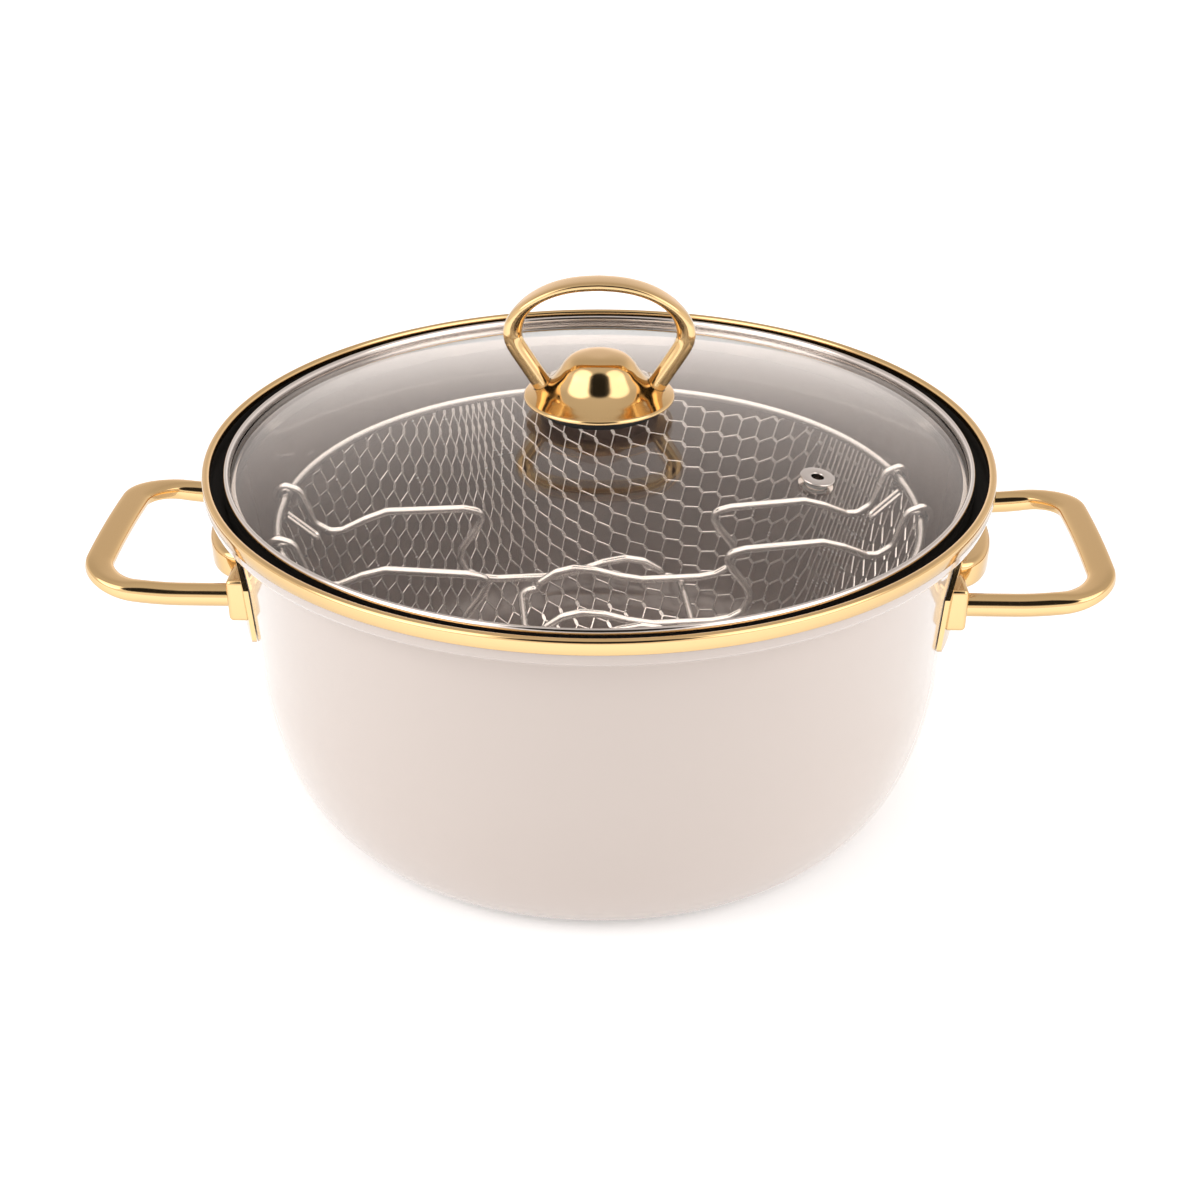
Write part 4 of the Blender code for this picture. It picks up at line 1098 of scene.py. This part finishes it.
def makeGrip(label):
    s, grip = gripSizes, gripSizes[label]
    side, reach, drop = grip["side"], grip["reach"], grip["drop"]
    eyeHalf, gripHalf, bend = grip["eyeHalf"], grip["gripHalf"], s["endBend"]
    eye = bowlSizes["ringWire"] + s["eyePlay"] + s["wire"]
    leg = arc((0.0, 0.0), eye, -65.0, -270.0, 14) + [(eye * 1.25, eye * 0.55)]
    leg += [(reach * along, -drop * down) for along, down in s["legShares"]]
    run = []
    for along, up in leg:
        share = smoothShare(along / reach, s["spreadFrom"], s["spreadTo"])
        run.append(Vector((-side * along, eyeHalf + (gripHalf - eyeHalf) * share, up)))
    run += [Vector((-side * along, spread, -drop))
            for along, spread in arc((reach - bend, gripHalf - bend), bend, 90, 0, 6)]
    run += [Vector((point.x, -point.y, point.z)) for point in run[::-1]]
    hinge = ringPoint(side, eyeHalf)
    hinge.y = 0.0
    handle = wirePiece("basketHandle" + label.capitalize(),
                       [basketTurn @ (point + hinge) for point in run], s["wire"], s["wireBend"],
                       "basket_steel")
    place(handle, "basket_grip_" + label, "basket_steel", "basket_handle_" + label)

    lean = math.radians(s["stopSlope"])
    slope = Vector((-side * math.cos(lean), 0.0, -math.sin(lean)))
    start = ringPoint(side, eyeHalf * s["stopShare"])
    start += slope * (bowlSizes["ringWire"] + gap + s["stopWire"])
    tip = start + slope * s["stopLength"]
    aside = Vector((0.0, s["stopHalfGap"], 0.0))
    run = [start + aside, tip + aside]
    run += [tip + aside * math.cos(angle) + slope * s["stopHalfGap"] * math.sin(angle)
            for angle in map(math.radians, range(20, 180, 20))]
    run += [tip - aside, start - aside]
    stop = wirePiece("basketStop" + label.capitalize(), [basketTurn @ point for point in run],
                     s["stopWire"], s["stopBend"], "basket_steel", sides=12)
    place(stop, "basket", "basket_steel", "basket_stop_" + label)


makeBowl()
makeGrip("left")
makeGrip("right")
print("basket made")


# Floor, light and camera

studio = {
    "floorColour": (0.93, 0.93, 0.93, 1), "floorLift": 0.33, "floorHalf": 6.0, "floorDrop": 0.0002,
    "floorRoughness": 0.9, "white": (1, 1, 1, 1),
    "skyLevel": 0.74, "roomLevel": 0.61, "sweepLow": 0.22, "sweepHigh": 0.70,
    # Way, cosine where it starts, cosine where it is full, level.
    "glossPatches": (((0.03, -0.72, 0.69), 0.87, 0.94, 0.03), ((0.0, 0.94, -0.34), 0.74, 0.95, 1.50),
                     ((-0.66, -0.42, 0.62), 0.86, 0.93, 3.2), ((0.66, -0.42, 0.62), 0.86, 0.93, 2.8)),
    "glossTint": (1.0, 0.925, 0.88, 1), "innerDepth": 2.5, "panelLow": 0.2, "panelHigh": 0.8,
    "panelLevel": 1.9,
    # Name, place, size, power.
    "lamps": (("keyLight", (-1.3, -0.5, 1.1), 0.9, 9.0), ("fillLight", (1.4, -0.3, 0.8), 0.9, 6.5),
              ("topLight", (0.0, 0.5, 1.6), 1.2, 4.0)),
    "lampAim": (0.0, 0.0, 0.06),
}
cameraView = {
    "lens": 53.97, "sensor": 36.0, "shiftX": 0.0006, "place": (0.01529, -0.54729, 0.3655),
    "pitch": 29.13, "yaw": 1.6, "nearest": 0.01,
}


def seenDirectly(tree):
    # 1 for camera, glossy and transmission rays.
    path = addNode(tree, "ShaderNodeLightPath").outputs
    through = mathNode(tree, "MAXIMUM", path["Is Camera Ray"], path["Is Transmission Ray"])
    return mathNode(tree, "MAXIMUM", through, path["Is Glossy Ray"])


def makeFloor():
    bm = bmesh.new()
    bmesh.ops.create_grid(bm, x_segments=1, y_segments=1, size=studio["floorHalf"])
    floor = meshObject("floor", bm)
    floor.location.z = -studio["floorDrop"]
    pale = bpy.data.materials.new("paleFloor")
    pale.use_nodes = True
    tree = pale.node_tree
    lift = mathNode(tree, "MULTIPLY", seenDirectly(tree), studio["floorLift"])
    for key, value in (("Base Color", studio["floorColour"]), ("Roughness", studio["floorRoughness"]),
                       ("Specular IOR Level", 0.0), ("Emission Color", studio["white"]),
                       ("Emission Strength", lift)):
        feed(tree, value, tree.nodes["Principled BSDF"].inputs[key])
    floor.data.materials.append(pale)


def makeWorld():
    s = studio
    world = bpy.data.worlds.new("studio")
    bpy.context.scene.world = world
    world.use_nodes = True
    tree = world.node_tree
    # Polished metal and glass show a white sweep and a dimmer room above it, with a dark place behind
    # the camera, a brighter wall far back and a soft panel on each side. The lamps aren't seen in
    # them. Rays that come out through the lid show plain white, and a bright panel overhead that
    # lights the basket.
    seen = addNode(tree, "ShaderNodeTexCoord").outputs["Generated"]
    height = addNode(tree, "ShaderNodeSeparateXYZ", {0: seen}).outputs["Z"]
    sweep = rangeNode(tree, height, s["sweepLow"], s["sweepHigh"], 1.0, s["roomLevel"])
    for way, low, high, level in s["glossPatches"]:
        facing = addNode(tree, "ShaderNodeVectorMath", {0: seen, 1: way}, operation="DOT_PRODUCT")
        patch = rangeNode(tree, facing.outputs["Value"], low, high, 1.0, level)
        sweep = mathNode(tree, "MULTIPLY", sweep, patch)
    path = addNode(tree, "ShaderNodeLightPath").outputs
    inner = mathNode(tree, "GREATER_THAN", path["Transmission Depth"], s["innerDepth"])
    panel = rangeNode(tree, height, s["panelLow"], s["panelHigh"], 1.0, s["panelLevel"])
    plain = mathNode(tree, "MAXIMUM", path["Is Camera Ray"], inner)
    shown = mixNode(tree, plain, sweep, panel, "FLOAT")
    back = tree.nodes["Background"].inputs
    feed(tree, mixNode(tree, seenDirectly(tree), s["skyLevel"], shown, "FLOAT"), back["Strength"])
    feed(tree, mixNode(tree, path["Is Glossy Ray"], s["white"], s["glossTint"]), back["Color"])


def makeLamps():
    for name, spot, size, power in studio["lamps"]:
        lamp = bpy.data.lights.new(name, "AREA")
        lamp.size = size
        lamp.energy = power
        thing = addObject(name, lamp)
        thing.location = spot
        aim = Vector(studio["lampAim"]) - Vector(spot)
        thing.rotation_euler = aim.to_track_quat("-Z", "Y").to_euler()
        thing.visible_glossy = False
        thing.visible_transmission = False


def makeCamera():
    data = bpy.data.cameras.new("camera")
    data.lens = cameraView["lens"]
    data.sensor_width = cameraView["sensor"]
    data.sensor_fit = "HORIZONTAL"
    data.shift_x = cameraView["shiftX"]
    data.clip_start = cameraView["nearest"]
    camera = addObject("camera", data)
    camera.location = cameraView["place"]
    aim = Matrix.Rotation(math.radians(cameraView["yaw"]), 4, "Z")
    aim = aim @ Matrix.Rotation(math.radians(90.0 - cameraView["pitch"]), 4, "X")
    camera.rotation_euler = aim.to_euler()
    bpy.context.scene.camera = camera


makeFloor()
makeWorld()
makeLamps()
makeCamera()
bpy.context.scene.view_settings.view_transform = "Standard"
print("studio and camera made")
